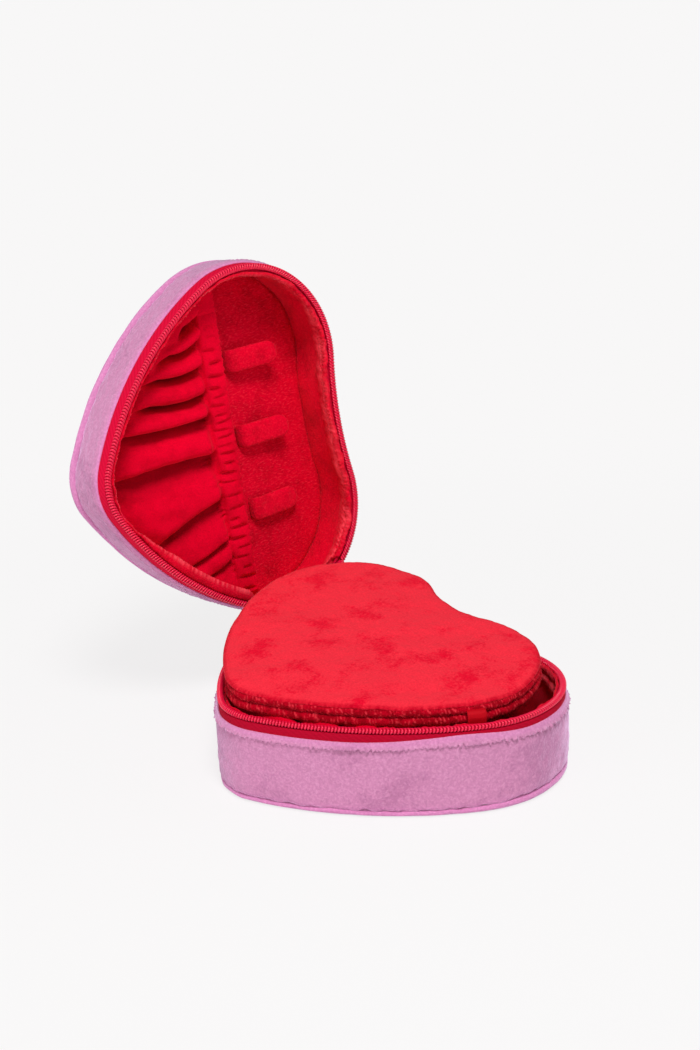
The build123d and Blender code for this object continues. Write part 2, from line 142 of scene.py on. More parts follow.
class FlapSizes(bpy.types.PropertyGroup):
    """Padded flap over the base."""

    inset: length("Inset", 5.4, "Box outline to the flap's edge")
    top: length("Top", 44.2, "Height of the middle of the flap")
    shift_x: length("Shift X", -2.2, "Flap towards the tip")
    shift_y: length("Shift Y", 0.8, "Flap towards the hinge")
    tilt_x: degrees("Tilt X", 5.2, "Back edge raised")
    tilt_y: degrees("Tilt Y", -2.4, "Cleft end raised")
    droop: length("Tip droop", 2.4, "How far the tip hangs below the flat flap")
    slip: length("Slip", 0.9, "How far the plush is pushed over towards the back of the tip")


class RibbonSizes(bpy.types.PropertyGroup):
    """Pull ribbon on the flap's front edge."""

    bearing: degrees("Bearing", -111, "Place round the front lobe")
    width: length("Width", 6.4, "Width of the ribbon")
    drop: length("Drop", 7.6, "Seam down to the ribbon's end")


class PocketSizes(bpy.types.PropertyGroup):
    """Gathered pocket in the tip half of the lid, and the necklace tabs beside it."""

    mouth_x: length("Mouth", -4.5, "Mouth of the pocket along X")
    casing: length("Casing width", 10, "Band that holds the elastic")
    mouth_height: length("Mouth height", 9.0, "Roof above the lining at the mouth")
    tip_height: length("Tip height", 6.4, "Roof above the lining at the tip")
    lean: FloatProperty(name="Lean", description="Fall of the roof towards the hinge", default=0.09)
    gathers: IntProperty(name="Gathers", description="Small gathers along the casing", default=38)
    tab_pitch: length("Tab pitch", 30, "One necklace tab to the next")


class BoxColours(bpy.types.PropertyGroup):
    """Colours of the cloths and the zip."""

    pink: colour("Pink velour", "C682A8", "Side walls and covers")
    pink_shade: colour("Pink shade", "B6749A", "Brushed dark nap of the pink velour")
    pink_fold: colour("Pink fold", "D482B6", "Folds and hems, where the pile parts")
    # Pale tips of the pink pile, which also serve as a painted glint on them
    pink_tips_and_glint: colour("Pink fuzz", "E6BCD8", "Tips of the pink pile")
    red: colour("Red plush", "EC2A3C", "Top of the flap")
    red_shade: colour("Red shade", "DE0028", "Brushed dark nap of the red plush")
    # Painted sheen and glints of the red pile, on rolled edges and on the tufts' tips
    red_painted_sheen: colour("Red fuzz", "F84858", "Pile seen from its side on rolls and pipings")
    lining: colour("Red lining", "DC0028", "Lining, pocket and tabs")
    lining_shade: colour("Lining shade", "B8001C", "Dark nap of the lining")
    tape_shade: colour("Zip tape shade", "D60434", "Between the twill's lines")
    tape: colour("Zip tape", "EA0C40", "Woven zip tape")
    # Painted shade on the zip tape
    tape_painted_shade: colour("Slack zip tape", "8E001A", "Tape that lies in the shade of the hem")
    coil: colour("Zip coil", "E81444", "Nylon coil")


class ViewSettings(bpy.types.PropertyGroup):
    """Camera at the photograph's viewing angle."""

    place: FloatVectorProperty(
        name="Place", description="Camera in the box's frame", default=(-0.3335, -0.462, 0.2591),
        subtype="XYZ", unit="LENGTH",
    )
    azimuth: degrees("Azimuth", -34.067, "Turn round the box")
    elevation: degrees("Elevation", 17.057, "Look down on the floor")
    roll: degrees("Roll", -2.217, "Turn about the view")
    lens: FloatProperty(name="Lens", description="Focal length in millimetres", default=57.83)
    shift_x: FloatProperty(name="Shift X", description="Framing, as a share of the height", default=0.00024)
    shift_y: FloatProperty(name="Shift Y", description="Framing, as a share of the height", default=-0.00458)


class HeartBoxSettings(bpy.types.PropertyGroup):
    """All settings of the box."""

    heart: PointerProperty(type=HeartOutlineSizes)
    zip: PointerProperty(type=ZipSizes)
    flap: PointerProperty(type=FlapSizes)
    ribbon: PointerProperty(type=RibbonSizes)
    pocket: PointerProperty(type=PocketSizes)
    colours: PointerProperty(type=BoxColours)
    view: PointerProperty(type=ViewSettings)


def settings():
    """The scene's settings of the box."""
    return bpy.context.scene.heart_box


# Shapes


def unit(vectors):
    """Vectors of unit length."""
    return vectors / np.linalg.norm(vectors, axis=-1, keepdims=True)


def path_lengths(line):
    """Distance along a line of points to each of them."""
    return np.concatenate(([0.0], np.cumsum(np.linalg.norm(np.diff(line, axis=0), axis=1))))


def points_at(places, arc, line):
    """Points at distances along a line, given the distance to each of its own points."""
    return np.stack([np.interp(places, arc, line[:, k]) for k in range(line.shape[1])], axis=-1)


class HeartOutline:
    """Closed heart outline, run from the tip round the back lobe, cleft and front lobe by its arc length."""

    def __init__(self, cleft_radius):
        sizes = settings().heart
        tip = np.array((sizes.tip_radius - TIP_END, 0.0))
        lobe = np.array((0.0, LOBE_OFFSET))
        flank = self.flank_centre(tip, lobe, sizes)
        cleft = np.array((math.sqrt((LOBE_RADIUS + cleft_radius) ** 2 - LOBE_OFFSET**2), 0.0))
        at_tip = self.bearing(flank, tip)
        at_lobe = self.bearing(flank, lobe)
        at_cleft = self.bearing(lobe, cleft)
        arcs = [
            (tip, sizes.tip_radius, math.pi, at_tip, 1),
            (flank, sizes.flank_radius, at_tip, at_lobe, 1),
            (lobe, LOBE_RADIUS, at_lobe, at_cleft, 1),
            (cleft, cleft_radius, at_cleft + math.pi, math.pi, -1),
        ]
        points, normals = [], []
        for centre, radius, start, end, outward in arcs:
            angle = np.linspace(start, end, 240, endpoint=False)
            ray = np.stack((np.cos(angle), np.sin(angle)), axis=1)
            points.append(centre + ray * radius)
            normals.append(ray * outward)
        points = np.concatenate(points)
        normals = np.concatenate(normals)
        end_point = np.array([[cleft[0] - cleft_radius, 0.0]])
        end_normal = np.array([[1.0, 0.0]])
        mirror = np.array((1.0, -1.0))
        self.points = np.concatenate((points, end_point, points[::-1] * mirror))
        self.normals = np.concatenate((normals, end_normal, normals[::-1] * mirror))
        self.arc = path_lengths(self.points)
        self.length = self.arc[-1]

    @staticmethod
    def bearing(centre, goal):
        """Angle of the way from one point to another."""
        return math.atan2(goal[1] - centre[1], goal[0] - centre[0])

    @staticmethod
    def flank_centre(tip, lobe, sizes):
        """Centre of the circle that touches the tip and lobe circles from outside."""
        span = np.linalg.norm(lobe - tip)
        ahead = (lobe - tip) / span
        to_tip = sizes.flank_radius - sizes.tip_radius
        to_lobe = sizes.flank_radius - LOBE_RADIUS
        run = (to_tip**2 - to_lobe**2 + span**2) / (2 * span)
        side = math.sqrt(to_tip**2 - run**2)
        return tip + ahead * run + np.array((ahead[1], -ahead[0])) * side

    def at(self, arc):
        """Points and outward normals at arc lengths."""
        place = np.mod(arc, self.length)
        return points_at(place, self.arc, self.points), unit(points_at(place, self.arc, self.normals))

    def even(self, count):
        """Evenly spaced arc lengths of the whole outline."""
        return np.arange(count) * self.length / count

    def at_bearing(self, bearing):
        """Arc length of the back half at a bearing, in degrees, from the lobe's centre."""
        half = len(self.points) // 2
        ray = self.points[:half] - np.array((0.0, LOBE_OFFSET))
        angle = np.degrees(np.arctan2(ray[:, 1], ray[:, 0]))
        angle = np.where(angle < -90, angle + 360, angle)
        return float(np.interp(-bearing, -angle, self.arc[:half]))

    def half_width(self, x, inset):
        """Half of the heart's width at places along X, between tip and lobes, at an inset."""
        half = len(self.points) // 2
        inner = self.points[:half] - self.normals[:half] * inset
        rising = slice(0, int(np.argmax(inner[:, 0])))
        return np.interp(x, inner[rising, 0], inner[rising, 1])


def box_outline():
    """Outline of both shells."""
    return HeartOutline(settings().heart.cleft_radius)


def lumps(points, size, seed, waves=12):
    """Smooth uneven field of about unit height, with bumps of about the given size."""
    rng = np.random.default_rng(seed)
    heading = rng.normal(size=(points.shape[-1], waves))
    heading /= np.linalg.norm(heading, axis=0)
    turns = 2 * math.pi / size * rng.uniform(0.7, 1.5, waves)
    phase = rng.uniform(0, 2 * math.pi, waves)
    return np.sin(points @ (heading * turns) + phase).mean(axis=-1) * math.sqrt(2 * waves)


def uneven(points, seed, *layers):
    """Sum of uneven fields, one for each height and size in mm, with seeds that count up."""
    total = 0
    for step, (height, size) in enumerate(layers):
        total = total + height * lumps(points, size * MM, seed + step)
    return total


def ease(value, low, high):
    """Smooth step from 0 at low to 1 at high."""
    share = np.clip((value - low) / (high - low), 0, 1)
    return share * share * (3 - 2 * share)


def ring_points(outline, arc, inset, height):
    """Grid of points at insets and heights (columns) along arc lengths (rows)."""
    point, normal = outline.at(arc)
    inset = np.broadcast_to(inset, (len(arc), np.shape(inset)[-1]))
    height = np.broadcast_to(height, inset.shape)
    flat = point[:, None, :] - normal[:, None, :] * inset[..., None]
    return np.concatenate((flat, height[..., None]), axis=-1)


def on_base(points):
    """Points of the shell frame, whose rim is the plane Z = 0, on the base."""
    return points + np.array((0.0, 0.0, RIM))


def on_lid(points):
    """Points of the shell frame turned over on the rim and opened about the lid's hinge."""
    joint = JOINTS["lid_hinge"]
    pivot = np.array(joint["pos_m"])
    opening = math.radians(joint["range_deg"][1] - joint["range_deg"][0])
    turn = np.array(Matrix.Rotation(opening, 3, Vector(joint["axis"])))
    closed = points * np.array((1.0, 1.0, -1.0)) + np.array((0.0, 0.0, RIM))
    return (closed - pivot) @ turn.T + pivot


def on_flap(points):
    """Points of the flap's own frame, whose top is the plane Z = 0, on the tilted flap."""
    flap = settings().flap
    tilt_x, tilt_y = math.radians(flap.tilt_x), math.radians(flap.tilt_y)
    turn = Matrix.Rotation(tilt_x, 3, "X") @ Matrix.Rotation(tilt_y, 3, "Y")
    return points @ np.array(turn).T + np.array((flap.shift_x, flap.shift_y, flap.top))


# How a shell is placed, its depth, and what its nodes call its outer cover and its inner panel
Shell = namedtuple("Shell", "place depth cover panel")
SHELLS = {
    "base": Shell(on_base, BASE_DEPTH, "bottom", "floor"),
    "lid": Shell(on_lid, LID_DEPTH, "top", "panel"),
}
# Height of the cover's seam above the outer face, in mm
SEAM_RISE = {"base": 2.6, "lid": 4.0}


def seam_shift(shell, point):
    """How much higher the seam of the base's cover lies at the lobes than at the tip."""
    return (1.3 * MM if shell == "base" else 0.0) * ease(point[:, :1], -30 * MM, 10 * MM)


def new_piece(name, vertices, faces, material, body=None, nodes=(), slot=None):
    """Mesh object from vertices and faces, with its faces turned outwards, on a body of the frame."""
    mesh = bpy.data.meshes.new(name)
    mesh.from_pydata(np.asarray(vertices).reshape(-1, 3).tolist(), [], faces)
    shape = bmesh.new()
    shape.from_mesh(mesh)
    bmesh.ops.recalc_face_normals(shape, faces=shape.faces)
    shape.to_mesh(mesh)
    shape.free()
    mesh.shade_smooth()
    mesh.materials.append(material)
    piece = bpy.data.objects.new(name, mesh)
    bpy.context.scene.collection.objects.link(piece)
    if body:
        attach(piece, body)
    if nodes:
        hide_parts(*nodes)
    return piece


def grid_faces(rows, columns, wrap_rows, wrap_columns):
    """Quads of a grid, closed round its rows or columns where asked, and capped where its rows end."""
    faces = []
    for row in range(rows if wrap_rows else rows - 1):
        here, below = row * columns, (row + 1) % rows * columns
        for column in range(columns if wrap_columns else columns - 1):
            beside = (column + 1) % columns
            faces.append((here + column, here + beside, below + beside, below + column))
    if wrap_columns and not wrap_rows:
        faces.append(tuple(range(columns)))
        faces.append(tuple((rows - 1) * columns + column for column in range(columns)))
    return faces


def loop_piece(name, grid, material, closed=True, **place):
    """Piece with a closed profile (columns) along a path (rows), which is a loop or has two capped ends."""
    rows, columns = grid.shape[:2]
    return new_piece(name, grid, grid_faces(rows, columns, closed, True), material, **place)


def store_map(piece, along, across):
    """UV map in metres from each vertex's place along and across the cloth."""
    layer = piece.data.uv_layers.new(name="Cloth")
    values = np.stack((np.ravel(along), np.ravel(across)), axis=1)
    corner = np.zeros(len(piece.data.loops), np.int32)
    piece.data.loops.foreach_get("vertex_index", corner)
    layer.data.foreach_set("uv", values[corner].astype(np.float32).ravel())


def store_fold_and_painted_light(piece, shape, amount):
    """Share of each vertex that shows in another colour: where the pile parts or stands on edge, and on some
    pieces painted shade, on others a painted highlight.
    """
    layer = piece.data.attributes.new("fold_and_painted_light", "FLOAT", "POINT")
    layer.data.foreach_set("value", np.clip(np.broadcast_to(amount, shape), 0, 1).astype(np.float32).ravel())


def rounded_profile(controls, count):
    """Evenly spaced points on a smooth closed line through control points."""
    controls = np.asarray(controls, float)
    size = len(controls)
    steps = []
    for index in range(size):
        a, b, c, d = (controls[(index + shift) % size] for shift in (-1, 0, 1, 2))
        for share in np.linspace(0, 1, 12, endpoint=False):
            square = (2 * a - 5 * b + 4 * c - d) * share**2
            cube = (3 * b - a - 3 * c + d) * share**3
            steps.append(0.5 * (2 * b + (c - a) * share + square + cube))
    line = np.array(steps + [steps[0]])
    arc = path_lengths(line)
    return points_at(np.linspace(0, arc[-1], count, endpoint=False), arc, line)


# Materials


def add_node(tree, kind, values=None, links=None, **settings_of_node):
    """Node with its settings, input values and incoming links."""
    node = tree.nodes.new(kind)
    for key, value in settings_of_node.items():
        setattr(node, key, value)
    for key, value in (values or {}).items():
        node.inputs[key].default_value = value
    for key, socket in (links or {}).items():
        tree.links.new(socket, node.inputs[key])
    return node


def new_material(name):
    """Empty material and its surface shader."""
    material = bpy.data.materials.new(name)
    material.use_nodes = True
    tree = material.node_tree
    return material, tree, tree.nodes["Principled BSDF"]


def full(shade):
    """Colour with its alpha."""
    return (*shade, 1.0)


def pile_material(
    name, light, dark, fold_and_painted_light, fuzz_and_painted_sheen, tint, patch, fleck, grain, brushed, depth, glint, sheen, lay=None
):
    """Cut-pile cloth: brushed patches, a grain of tufts, folds in another colour, which is painted shade on
    the velour and a painted highlight on the fleece and the chenille, and a sheen at the edges.

    patch, fleck, grain and depth are real sizes in millimetres. The patches break up into flecks, and
    brushed is the range about the nap's mean that goes dark. Real tufts are about 0.2 mm wide, too fine to
    show, so that the grain is drawn three to four times as coarse. glint is how far the tufts' tips take
    the colour of fuzz and painted sheen: a painted glint, which on the pink velour is partly the tips' own
    pale colour. lay gives the slant in degrees and the stretch of tufts that lie flat.
    """
    material, tree, shader = new_material(name)
    place = add_node(tree, "ShaderNodeTexCoord").outputs["Object"]
    patches = add_node(
        tree, "ShaderNodeTexNoise", {"Scale": 1 / (patch * MM), "Detail": 3.0, "Distortion": 0.3},
        {"Vector": place},
    )
    flecks = add_node(
        tree, "ShaderNodeTexNoise", {"Scale": 1 / (fleck * MM), "Detail": 3.0, "Roughness": 0.65},
        {"Vector": place},
    )
    nap = add_node(
        tree, "ShaderNodeMath", {1: 0.6}, {0: flecks.outputs["Fac"], 2: patches.outputs["Fac"]},
        operation="MULTIPLY_ADD",
    )
    if lay:
        flat = add_node(tree, "ShaderNodeUVMap", uv_map="Cloth").outputs["UV"]
        slanted = {"Rotation": (0, 0, math.radians(lay[0])), "Scale": (lay[1], 1, 1)}
        place = add_node(tree, "ShaderNodeMapping", slanted, {"Vector": flat}).outputs["Vector"]
    tufts = add_node(
        tree, "ShaderNodeTexNoise", {"Scale": 1 / (grain * MM), "Detail": 2.0, "Roughness": 0.6},
        {"Vector": place},
    )
    shade = add_node(
        tree, "ShaderNodeMapRange", {"From Min": 0.8 + brushed[0], "From Max": 0.8 + brushed[1]},
        {"Value": nap.outputs[0]}, interpolation_type="SMOOTHSTEP",
    )
    cloth = add_node(
        tree, "ShaderNodeMix", {6: full(light), 7: full(dark)}, {0: shade.outputs["Result"]}, data_type="RGBA"
    )
    # The stored share mixes in the fold colour, which is painted shade on the velour and a painted highlight
    # on the fleece and the chenille
    parted = add_node(tree, "ShaderNodeAttribute", attribute_name="fold_and_painted_light")
    folded_and_painted = add_node(
        tree, "ShaderNodeMix", {7: full(fold_and_painted_light)}, {0: parted.outputs["Fac"], 6: cloth.outputs[2]},
        data_type="RGBA",
    )
    # Painted glint: the tufts' tips take the colour of fuzz and painted sheen
    tips = add_node(
        tree, "ShaderNodeMapRange", {"From Min": 0.52, "From Max": 0.72, "To Max": glint},
        {"Value": tufts.outputs["Fac"]},
    )
    tipped = add_node(
        tree, "ShaderNodeMix", {7: full(fuzz_and_painted_sheen)}, {0: tips.outputs["Result"], 6: folded_and_painted.outputs[2]},
        data_type="RGBA",
    )
    speckle = add_node(
        tree, "ShaderNodeMapRange", {"From Min": 0.3, "From Max": 0.6, "To Min": 0.88, "To Max": 1.03},
        {"Value": tufts.outputs["Fac"]},
    )
    shaded = add_node(
        tree, "ShaderNodeVectorMath", links={0: tipped.outputs[2], "Scale": speckle.outputs["Result"]},
        operation="SCALE",
    )
    tree.links.new(shaded.outputs["Vector"], shader.inputs["Base Color"])
    bump = add_node(
        tree, "ShaderNodeBump", {"Strength": 0.8, "Distance": depth * MM}, {"Height": tufts.outputs["Fac"]}
    )
    tree.links.new(bump.outputs["Normal"], shader.inputs["Normal"])
    shader.inputs["Roughness"].default_value = 0.95
    shader.inputs["Specular IOR Level"].default_value = 0.04
    shader.inputs["Sheen Weight"].default_value = sheen
    shader.inputs["Sheen Roughness"].default_value = 0.42
    shader.inputs["Sheen Tint"].default_value = full(tint)
    return material


# Real twill lines lie about 0.5 mm apart, too fine to show, so that they are drawn at this spacing
TWILL_PITCH = 1.4 * MM


def twill_tape():
    """Woven polyester zip tape: fine twill lines that slant across the band, and painted shade by the share
    that each piece stores.
    """
    colours = settings().colours
    material, tree, shader = new_material("red_twill_tape")
    place = add_node(tree, "ShaderNodeUVMap", uv_map="Cloth").outputs["UV"]
    turned = add_node(
        tree, "ShaderNodeMapping", {"Rotation": (0, 0, math.radians(55))}, {"Vector": place}
    )
    # The bands of a wave texture lie pi / 10 apart at a scale of 1
    twill = add_node(
        tree, "ShaderNodeTexWave", {"Scale": math.pi / (10 * TWILL_PITCH), "Distortion": 0.6, "Detail": 1.0},
        {"Vector": turned.outputs["Vector"]},
    )
    cloth = add_node(
        tree, "ShaderNodeMix", {6: full(tuple(colours.tape_shade)), 7: full(tuple(colours.tape))},
        {0: twill.outputs["Fac"]}, data_type="RGBA",
    )
    # Painted shade, mixed in by the stored share
    painted_shade_share = add_node(tree, "ShaderNodeAttribute", attribute_name="fold_and_painted_light")
    shaded_tape = add_node(
        tree, "ShaderNodeMix", {7: full(tuple(colours.tape_painted_shade))},
        {0: painted_shade_share.outputs["Fac"], 6: cloth.outputs[2]}, data_type="RGBA",
    )
    tree.links.new(shaded_tape.outputs[2], shader.inputs["Base Color"])
    bump = add_node(
        tree, "ShaderNodeBump", {"Strength": 0.3, "Distance": 0.1 * MM}, {"Height": twill.outputs["Fac"]}
    )
    tree.links.new(bump.outputs["Normal"], shader.inputs["Normal"])
    shader.inputs["Roughness"].default_value = 0.85
    shader.inputs["Specular IOR Level"].default_value = 0.08
    return material


def plain_material(name, shade, roughness, grain, strength, specular=0.5, metallic=0.0):
    """Hard or smooth material with a faint uneven surface at a real grain size."""
    material, tree, shader = new_material(name)
    place = add_node(tree, "ShaderNodeTexCoord").outputs["Object"]
    texture = add_node(tree, "ShaderNodeTexNoise", {"Scale": 1 / grain, "Detail": 3.0}, {"Vector": place})
    tone = add_node(
        tree, "ShaderNodeMapRange", {"To Min": 0.86, "To Max": 1.08}, {"Value": texture.outputs["Fac"]}
    )
    shaded = add_node(
        tree, "ShaderNodeVectorMath", {0: shade}, {"Scale": tone.outputs["Result"]}, operation="SCALE"
    )
    tree.links.new(shaded.outputs["Vector"], shader.inputs["Base Color"])
    bump = add_node(
        tree, "ShaderNodeBump", {"Strength": strength, "Distance": 0.1 * MM},
        {"Height": texture.outputs["Fac"]},
    )
    tree.links.new(bump.outputs["Normal"], shader.inputs["Normal"])
    shader.inputs["Roughness"].default_value = roughness
    shader.inputs["Specular IOR Level"].default_value = specular
    shader.inputs["Metallic"].default_value = metallic
    return material


MATERIALS = {}


def make_materials():
    """All materials of the box by a maker's name for them."""
    colours = settings().colours
    pink, pink_shade = tuple(colours.pink), tuple(colours.pink_shade)
    pink_fold, pink_tips_and_glint = tuple(colours.pink_fold), tuple(colours.pink_tips_and_glint)
    red, red_shade, red_painted_sheen = tuple(colours.red), tuple(colours.red_shade), tuple(colours.red_painted_sheen)
    lining, lining_shade = tuple(colours.lining), tuple(colours.lining_shade)
    lilac, blush = linear("EED8F8"), linear("FF7078")
    MATERIALS.update(
        {
            # Polyester velour, sheared and brushed: matt, with cloudy hand marks, a pale lilac edge and pale
            # tufts' tips that are partly a painted glint
            "pink_velour": pile_material(
                "pink_velour", pink, pink_shade, pink_fold, pink_tips_and_glint, lilac,
                patch=18, fleck=2.4, grain=0.9, brushed=(-0.02, 0.2), depth=0.36, glint=0.14, sheen=0.8,
            ),
            # Polyester plush, longer and brushed both ways: bright where it leans away, dark where it parts,
            # with small painted glints on its tufts' tips
            "red_plush": pile_material(
                "red_brushed_plush", red, red_shade, linear("B8001E"), red_painted_sheen, blush,
                patch=11, fleck=1.0, grain=0.6, brushed=(0.0, 0.24), depth=0.2, glint=0.12, sheen=0.45,
            ),
            # Chenille cord, spun from cut pile: dark between its strands, with a pale painted highlight on
            # its broken crests
            "red_chenille": pile_material(
                "red_chenille_piping", linear("AC001A"), linear("920012"), linear("DC3442"), linear("D82838"),
                blush,
                patch=6, fleck=2, grain=0.6, brushed=(-0.05, 0.1), depth=0.3, glint=0.12, sheen=0.1,
            ),
            # Polyester velour, sheared short: an even deep red, with painted shade, nearly black-red, deep in
            # its folds and along the lower cushion's edge
            "red_velour": pile_material(
                "red_velour", lining, lining_shade, linear("7A000C"), lining, blush,
                patch=16, fleck=3, grain=0.55, brushed=(-0.1, 0.4), depth=0.1, glint=0, sheen=0.1,
            ),
            # Polyester fleece, raised from a knit: matt, with fluff along its rolled edges, where a pale
            # painted sheen lies, and small painted glints on its tufts
            "red_fleece": pile_material(
                "red_fleece", lining, lining_shade, red_painted_sheen, red_painted_sheen, blush,
                patch=7, fleck=2, grain=0.7, brushed=(-0.1, 0.4), depth=0.3, glint=0.15, sheen=0.3,
            ),
            # Warp knit, brushed one way: short pale strokes that all slant alike, which are painted glints on
            # its tufts
            "red_lining": pile_material(
                "red_brushed_knit", lining, lining_shade, lining, red_painted_sheen, blush,
                patch=14, fleck=3, grain=0.6, brushed=(-0.1, 0.4), depth=0.3, glint=0.28, sheen=0.12,
                lay=(27, 0.4),
            ),
            # Polyester, woven in twill and dyed: fine slanting lines with next to no shine
            "twill_tape": twill_tape(),
            # Nylon monofilament, drawn and wound: smooth, with a small bright glint on every turn
            "nylon_coil": plain_material("red_nylon_coil", tuple(colours.coil), 0.32, 2 * MM, 0.05, 0.4),
            # Polyester cord, twisted: dull, and darkened as painted shade where it shows behind the turns of
            # the coil
            "zip_cord": plain_material("red_polyester_cord", linear("A00020"), 0.8, 0.6 * MM, 0.3, 0.1),
            # Zinc, die-cast and enamelled: glossy, with soft edges to its highlights
            "enamel": plain_material("red_enamelled_zinc", linear("C4102C"), 0.28, 1.5 * MM, 0.06),
            # Polyester ribbon, woven in satin: plain and low in shine on its dull side
            "satin": plain_material("red_satin_ribbon", linear("B40014"), 0.7, 0.5 * MM, 0.25, 0.1),
            # Acetal, moulded: smooth and slightly waxy
            "snap": plain_material("red_moulded_acetal", linear("C00A20"), 0.36, 2 * MM, 0.05),
            # Grey board, pressed from fibre: matt and finely mottled
            "board": plain_material("grey_fibre_board", linear("B8B2A8"), 0.85, 1.2 * MM, 0.4, 0.2),
            # Polyurethane foam, cut: matt off-white with open pores
            "foam": plain_material("white_soft_foam", linear("E8E2D8"), 0.95, 0.9 * MM, 0.6, 0.1),
        }
    )


def dress_node(node, material):
    """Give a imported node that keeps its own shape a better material."""
    mesh = frame["nodes"][node].data
    mesh.materials.clear()
    mesh.materials.append(MATERIALS[material])


# Shell covers

# Steps round the outline of walls and of plates
WALL_STEPS = 480
PLATE_STEPS = 320
# Middle of the heart, and shares of the way out from it: the first loop of a face, and a hidden face's loops
HEART_CENTRE = np.array((-12 * MM, 0.0))
MIDDLE_SHARE = 0.02
HIDDEN_SHARES = (1, 0.5, MIDDLE_SHARE)


def wall_profile(floor, seam):
    """Side wall from the bottom seam up outside to the hem and down inside: inset and height, in mm."""
    foot, head = floor + seam, HEM_LOW / MM
    return [
        (0.95, foot), (0.5, foot + 0.05), (0.15, foot + 0.6), (-0.05, foot + 1.9), (-0.15, foot + 5),
        (-0.15, head - 6), (0.0, head - 1.2), (0.1, head + 0.2), (0.5, head + 0.35), (0.9, head),
        (0.92, head - 6), (0.92, foot + 3),
    ]


def hem_profile():
    """Folded hem over the wall's top edge, drawn in towards the zip: inset and height, in mm."""
    low, top = HEM_LOW / MM, HEM_TOP / MM
    return [
        (-0.15, low - 0.75), (-0.5, low - 0.6), (-0.42, low), (-0.12, low + 0.7), (0.1, low + 1.7),
        (0.4, top - 0.6), (0.85, top - 0.05), (0.98, top - 0.5), (0.96, low + 0.9), (0.5, low + 0.55),
        (-0.08, low + 0.3),
    ]


def build_wall(shell, outline, seed):
    """Velour side wall of one shell, drawn in at the bottom seam."""
    place, floor = SHELLS[shell].place, -SHELLS[shell].depth
    arc = outline.even(WALL_STEPS)
    profile = rounded_profile(wall_profile(floor / MM, SEAM_RISE[shell]), 58) * MM
    grid = ring_points(outline, arc, profile[:, 0], profile[:, 1])
    outer = ease(-profile[:, 0], -0.6 * MM, -0.2 * MM)
    swell = uneven(grid, seed, (0.16, 24), (0.07, 5), (0.05, 1.8))
    seam = np.exp(-(((profile[:, 1] - floor) / MM - SEAM_RISE[shell] - 0.2) / 1.2) ** 2)
    drop = uneven(grid[:, :1], seed + 3, (0.22, 7), (0.12, 2.6))
    inset = profile[:, 0] - swell * outer * MM
    point = outline.at(arc)[0]
    _, low_shift = hem_shift(shell, point)
    under_hem = ease(profile[:, 1], HEM_LOW - 7 * MM, HEM_LOW - 0.5 * MM)
    height = profile[:, 1] + drop * seam * MM + low_shift * under_hem
    height = height + seam_shift(shell, point) * (1 - ease(profile[:, 1], floor + 4 * MM, floor + 12 * MM))
    piece = loop_piece(
        f"{shell}_wall_cover", place(ring_points(outline, arc, inset, height)), MATERIALS["pink_velour"],
        body=shell, nodes=[f"{shell}_side_wall"], slot="pink_plush",
    )
    store_fold_and_painted_light(piece, grid.shape[:2], 0.4 * seam)


# Spacing of the tufts on the hem's ragged lip
HEM_TUFT = 3.9 * MM


def hem_shift(shell, point):
    """How far the hem's top and lower edge leave their even levels: on the base, most along the flanks."""
    if shell == "lid":
        return -1.0 * MM, 0.3 * MM
    rise = ease(point[:, 0], -55 * MM, -12 * MM)
    fall = 0.7 * ease(point[:, 0], -26 * MM, 4 * MM)
    flank = (rise * (1 - fall))[:, None]
    return 2.6 * MM * flank, (1.7 + 1.7 * flank) * MM


def build_hem(shell, outline, seed):
    """Hem that folds over the wall; on the base its lower edge is a ragged lip of small tufts."""
    place = SHELLS[shell].place
    arc = outline.even(4 * WALL_STEPS)
    point, _ = outline.at(arc)
    profile = rounded_profile(hem_profile(), 34) * MM
    up = (profile[:, 1] - HEM_LOW) / (HEM_TOP - HEM_LOW)
    top_shift, low_shift = hem_shift(shell, point)
    level = profile[:, 1] + low_shift * (1 - up) + top_shift * up
    ragged = 1 if shell == "base" else 0.3
    lip = np.exp(-(((profile[:, 1] - HEM_LOW) / MM + 0.6) / 0.6) ** 2)
    tufts = round(outline.length / HEM_TUFT)
    phase = arc / outline.length * tufts + 0.4 * lumps(arc[:, None], 13 * MM, seed + 5)
    scallop = (np.abs(np.sin(math.pi * phase)) ** 0.6)[:, None]
    fringe = 0.22 * lumps(arc[:, None], 1.7 * MM, seed + 6)[:, None] - 0.6 * scallop
    flare = 0.42 * scallop + 0.2 * lumps(arc[:, None], 2.3 * MM, seed + 7)[:, None] - 0.1
    outside = np.where(profile[:, 0] < 0, profile[:, 0] * (0.55 + 0.45 * ragged), profile[:, 0])
    inset = outside - lip * flare * ragged * MM * (profile[:, 0] < 0)
    grid = ring_points(outline, arc, inset, level + lip * fringe * ragged * MM)
    piece = loop_piece(
        f"{shell}_hem", place(grid), MATERIALS["pink_velour"],
        body=shell, nodes=[f"{shell}_side_hem"], slot="pink_hem",
    )
    parted = 0.4 * ease(up, 0.05, 0.4) if shell == "base" else 0.9 * ease(up, 0.3, 0.95)
    store_fold_and_painted_light(piece, grid.shape[:2], parted)


def build_welt(shell, outline, seed):
    """Cord in the seam between the side wall and the cover."""
    place, depth, cover, _ = SHELLS[shell]
    profile = rounded_profile([(0.75, 0), (1.05, 0.35), (1.3, 0), (1.05, -0.35)], 12) * MM
    arc = outline.even(WALL_STEPS)
    level = SEAM_RISE[shell] * MM - depth + seam_shift(shell, outline.at(arc)[0])
    grid = ring_points(outline, arc, profile[:, 0], profile[:, 1] + level)
    grid[..., 2] += 0.12 * lumps(grid[:, :1], 6 * MM, seed + 8) * MM
    loop_piece(
        f"{shell}_{cover}_cord", place(grid), MATERIALS["pink_velour"],
        body=shell, nodes=[f"{shell}_{cover}_welt"], slot="pink_plush",
    )


